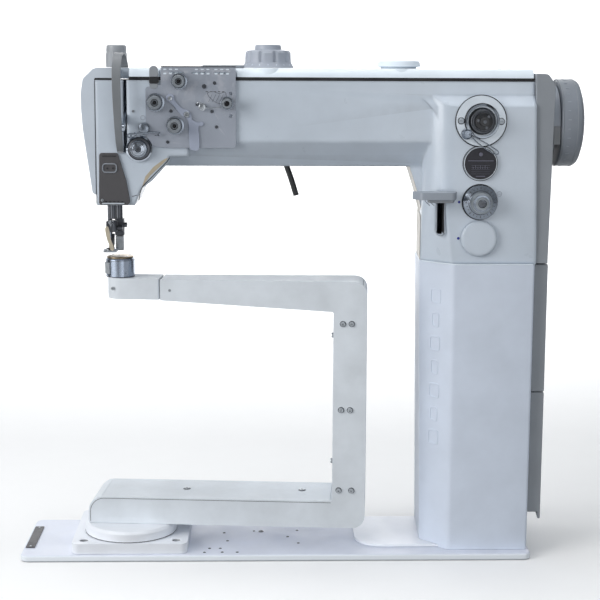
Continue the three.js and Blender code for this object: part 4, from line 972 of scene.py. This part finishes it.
def make_guard():
    """A bowed strip that starts at the face, arches over the top and lands behind the cover's edge."""
    points = [
        (16, -31.6, 457), (15.6, -41.5, 470), (15, -48.5, 495), (14.4, -50.5, 520), (14.2, -47, 543),
        (14.6, -38, 557), (15.6, -26, 562.2), (17, -15, 560.5), (18.2, -8, 553), (18.8, -5, 547.4),
    ]
    path = curve(points, 5)
    strip = Shape()
    rings = []
    for i, p in enumerate(path):
        along = (path[min(i + 1, len(path) - 1)] - path[max(i - 1, 0)]).normalized()
        out = Vector((0, along.z, -along.y)).normalized()
        half = 3.5 + 1.3 * min(1, i / 20)
        side = Vector((half, 0, 0))
        rings.append([p + side + out * 0.9, p - side + out * 0.9, p - side - out * 0.9, p + side - out * 0.9])
    strip.rings(rings)
    own = ("take_up_guard",)
    strip.done("take_up_guard_strip", "dark_plastic", "guard_grey", bevel=0.45, stands_for=own)
    foot = Shape().prism(rounded(12.9, 455.4, 19.2, 460.5, 1), "-y", 30.4, 33)
    foot.screw((16, -33, 458), "-y", 1.5, 0.7)
    foot.done("guard_foot", "dark_plastic", bevel=0.3)


def make_take_up():
    lever = Shape()
    outline = [
        (-4, 505), (-8, 507), (-20, 503), (-38, 494), (-52, 488), (-56, 484.5), (-54.5, 480.6), (-50, 480),
        (-36, 485.8), (-18, 492.6), (-6, 493),
    ]
    lever.prism(smooth_outline(outline, 4), "x", 20.1, 22.5)
    lever.ring((21.3, -52.4, 484.2), "x", 2.1, 0.6, 24)
    lever.done("take_up_arm", "chrome", bevel=0.3, stands_for=("take_up_lever",), body="take_up_lever")


def make_needle_area():
    clamp = Shape()
    profile = [(0, 0), (4.6, 0), (5.1, 1), (5.1, 12), (4.4, 13.2), (0, 13.2)]
    clamp.lathe((3.2, 0, 365.6), "z", profile, 28)
    clamp.box((-4.2, -2.2, 366.4), (0.8, 2.2, 377.6))
    own = ("needle_clamp",)
    clamp.done("needle_clamp_body", "steel", "dark_steel", stands_for=own, bevel=0.4, body="needle_bar")
    screw = Shape()
    profile = [(0, 0), (2.2, 0), (2.2, 1), (3.1, 1.2), (3.1, 5.6), (2.6, 6.2), (0, 6.2)]
    screw.lathe((8, 0, 370), "x", profile, 32, knurl((3, 4), 14, 0.3))
    screw.done("needle_clamp_screw", "chrome", "dark_steel", body="needle_bar")
    loop = Shape()
    points = [(4.5, -4.6, 377), (2.5, -5.9, 379), (-0.5, -6.2, 376.8), (1, -6, 374.4), (3.5, -5.2, 375.6)]
    loop.tube(curve(points, 5), 0.5, 6)
    loop.done("needle_bar_eyelet", "steel", body="needle_bar")
    sleeve = Shape().lathe((9, 15, 394.6), "z", [(4.4, 0), (5.6, 0.6), (5.6, 5), (4.4, 5), (4.4, 0)], 28)
    sleeve.done("bar_bushing", "steel", bevel=0.15)
    block = Shape().box((4.6, 9.6, 360.4), (14.6, 20.4, 379.4))
    block.screw((14.6, 15, 372), "x", 2.8, 3.2, socket=False)
    block.done("presser_clamp", "steel", "dark_steel", bevel=0.8, body="presser_bar")
    shank = Shape()
    side = [
        (-4.6, 371), (-1.4, 372.6), (0.4, 366), (1.6, 358), (4.4, 350), (4.6, 345.8), (1.4, 345.8),
        (0, 351), (-2.4, 357), (-4, 364),
    ]
    shank.prism(smooth_outline(side, 3), "-y", 7.2, 9)
    shank.done("foot_shank", "plate_bronze", "ivory_steel", bevel=0.4, body="presser_bar")
    insert = Shape().box((-6.4, -8.4, 346.05), (-3.8, 18, 347.3))
    insert.box((4.6, -8.4, 346.05), (7.4, 10, 347.2))
    insert.done("foot_toes", "chrome", bevel=0.4, body="presser_bar")
    inner = Shape().prism([(3.4, 344.8), (9.4, 344.8), (10, 349.4), (6.6, 351.4)], "x", -1.9, 3.4)
    inner.done("inner_foot_tip", "plate_bronze", bevel=0.4, body="walking_foot")


# ---- top of the arm ----
COVER_Z = 547
STROKE_X, CAP_X = 176.5, 321.5
SHAFT_Y = 12


def make_top():
    knob = Shape()
    profile = [
        (0, 0.5), (11.3, 0.5), (11.7, 1.6), (11.7, 14.5), (10.9, 17.5), (11.4, 19), (10.8, 23.8), (9.2, 25),
        (0, 25),
    ]
    knob.lathe((8.9, SHAFT_Y, COVER_Z), "z", profile, 96, knurl((2, 3), 26, 0.45))
    own = ("pressure_knob",)
    knob.done("pressure_knob_grip", "steel", "knob_grey", bevel=0.15, stands_for=own, body="pressure_knob")
    dial = Shape()

    def lobes(row, angle, r):
        return r - 2.2 * max(0, cos(10 * angle)) ** 3 if row in (4, 5) else r

    profile = [
        (0, 0.5), (28.4, 0.5), (28.6, 1.4), (26.2, 5.4), (25.8, 7), (25.4, 16.6), (23.6, 19.2), (15, 20.4),
        (14.2, 25.2), (12.6, 26), (0, 26),
    ]
    dial.lathe((STROKE_X, SHAFT_Y, COVER_Z), "z", profile, 120, lobes)
    own = ("stroke_dial",)
    dial.done("stroke_dial_grip", "grey_plastic", "dial_grey", bevel=0.25, stands_for=own, body="stroke_dial")
    ticks = Shape()
    for k in range(18):
        turn = Matrix.Rotation(radians(20 * k), 4, "Z")
        at = Matrix.Translation((STROKE_X, SHAFT_Y, COVER_Z)) @ turn
        ring = [(-0.35, 1.7), (0.35, 1.7), (0.35, 4.4), (-0.35, 4.4)]
        ticks.rings([[at @ Vector((a, -r - (4.4 - b) * 0.55, b)) for a, b in ring] for r in (25.6, 26.85)])
    ticks.done("stroke_dial_ticks", "cover_paint", body="stroke_dial")
    # Both round fittings stand on bosses that run out into the cover's sloping front.
    boss = Shape()
    for x, r in ((STROKE_X, 21), (CAP_X, 19)):
        boss.lathe((x, -6, COVER_Z), "z", [(0, -9), (r + 1.5, -8.4), (r, -3), (r - 1.5, 0.2), (0, 0.2)], 48)
    boss.done("cover_bosses", "cover_paint", bevel=0.5)
    pointer = Shape()
    outline = [(104, -2), (139, -4), (150, 2), (150, 22), (139, 27), (108, 24)]
    pointer.prism(outline, "z", COVER_Z + 0.1, COVER_Z + 3.4)
    pointer.done("stroke_pointer", "dark_plastic", bevel=0.8)
    cap = Shape().ring((CAP_X, SHAFT_Y, COVER_Z + 9.6), "z", 17.2, 0.5, 60)
    cap.done("cap_ring", "cover_paint")
    heads = Shape()
    for x in (60, 255, 440):
        for y in (-14, 46):
            heads.screw((x, y, COVER_Z - 0.75), "z", 3, 1.1)
    heads.done("top_cover_screws", "steel", bevel=0.12)


# ---- right side ----
SHAFT_Z = 488.2


def make_right():
    marks = Shape()
    for k in range(30):
        at = Matrix.Translation((0, SHAFT_Y, SHAFT_Z)) @ Matrix.Rotation(radians(12 * k), 4, "X")
        end = 506.6 + 0.9 * (k % 2)
        ring = [(503.8, -0.45), (end, -0.45), (end, 0.45), (503.8, 0.45)]
        marks.rings([[at @ Vector((a, b, r)) for a, b in ring] for r in (48.0, 48.62)])
    marks.done("handwheel_marks", "cover_paint", "collar_grey", body="handwheel")
    rings = Shape().ring((498.6, SHAFT_Y, SHAFT_Z), "x", 48.1, 0.5, 96)
    rings.ring((514.6, SHAFT_Y, SHAFT_Z), "x", 48.4, 0.35, 96)
    rings.done("handwheel_grooves", "dark_plastic", body="handwheel")
    grip = Shape()
    profile = [(0, -0.2), (21, -0.2), (20.6, 0.8), (12, 1.3), (5, 1.3), (4.6, -0.1), (0, -0.1)]
    grip.lathe((523.5, SHAFT_Y, SHAFT_Z), "x", profile, 64)
    grip.done("handwheel_hub_cap", "dark_plastic", bevel=0.2, body="handwheel")
    ledge = Shape().prism([(488.4, -30.2), (496.4, -30.2), (496.4, -24), (488.4, -24)], "z", 486.2, 487.6)
    ledge.done("guard_ledge", "grey_plastic", "collar_grey", bevel=0.3)
    recess = Shape().prism([(488.9, -31.4), (496.4, -31.4), (496.4, -20), (488.9, -20)], "z", 466, 486)
    recess.done("guard_recess", "dark_plastic", "guard_grey", bevel=0.3)
    screws = Shape()
    for x, pair, heights in ((485.3, (-24, 50), (355, 430)), (486.9, (-20, 45), (315, 205, 170, 70))):
        for z in heights:
            for y in pair:
                screws.screw((x, y, z), "x", 2.8, 1.1)
    screws.done("side_screws", "dark_plastic", "dark_steel", bevel=0.12)
    vents = Shape()
    for k in range(7):
        z = 90 + 11 * k
        vents.prism(rounded(-16, z, 40, z + 4, 1.9), "x", 486.6, 487.15)
    vents.done("belt_cover_vents", "dark_plastic", "black_plastic")


# ---- back ----
def make_back():
    heads = Shape()
    for x in (118, 312):
        for z in (482, 518):
            heads.screw((x, 65.3, z), "y", 2.8, 1.2)
    heads.done("back_cover_screws", "steel", bevel=0.12)
    rod = Shape()
    path = [(191, 458), (194.5, 447), (198.5, 435), (204.5, 418), (209.7, 401)]
    rod.tube(curve([(x, 67, z) for x, z in path], 4), 3.3, 16)
    rod.lathe((191, 62.6, 462), "y", [(0, 0), (8, 0), (8, 7), (7, 8.4), (0, 8.4)], 32)
    rod.done("foot_lift_rod", "black_plastic", stands_for=("foot_lift_lever",), body="foot_lift_lever")
    vents = Shape()
    for k in range(9):
        z = 60 + 12 * k
        vents.prism([(b, a) for a, b in rounded(372, z, 442, z + 4, 1.9)], "y", 71.9, 72.15)
    vents.done("back_vents", "column_paint", "black_plastic")


make_camera()
make_stage()
dress_all()
make_base()
make_lower_arm()
make_column()
make_upright()
make_tension()
make_head()
make_top()
make_right()
make_back()
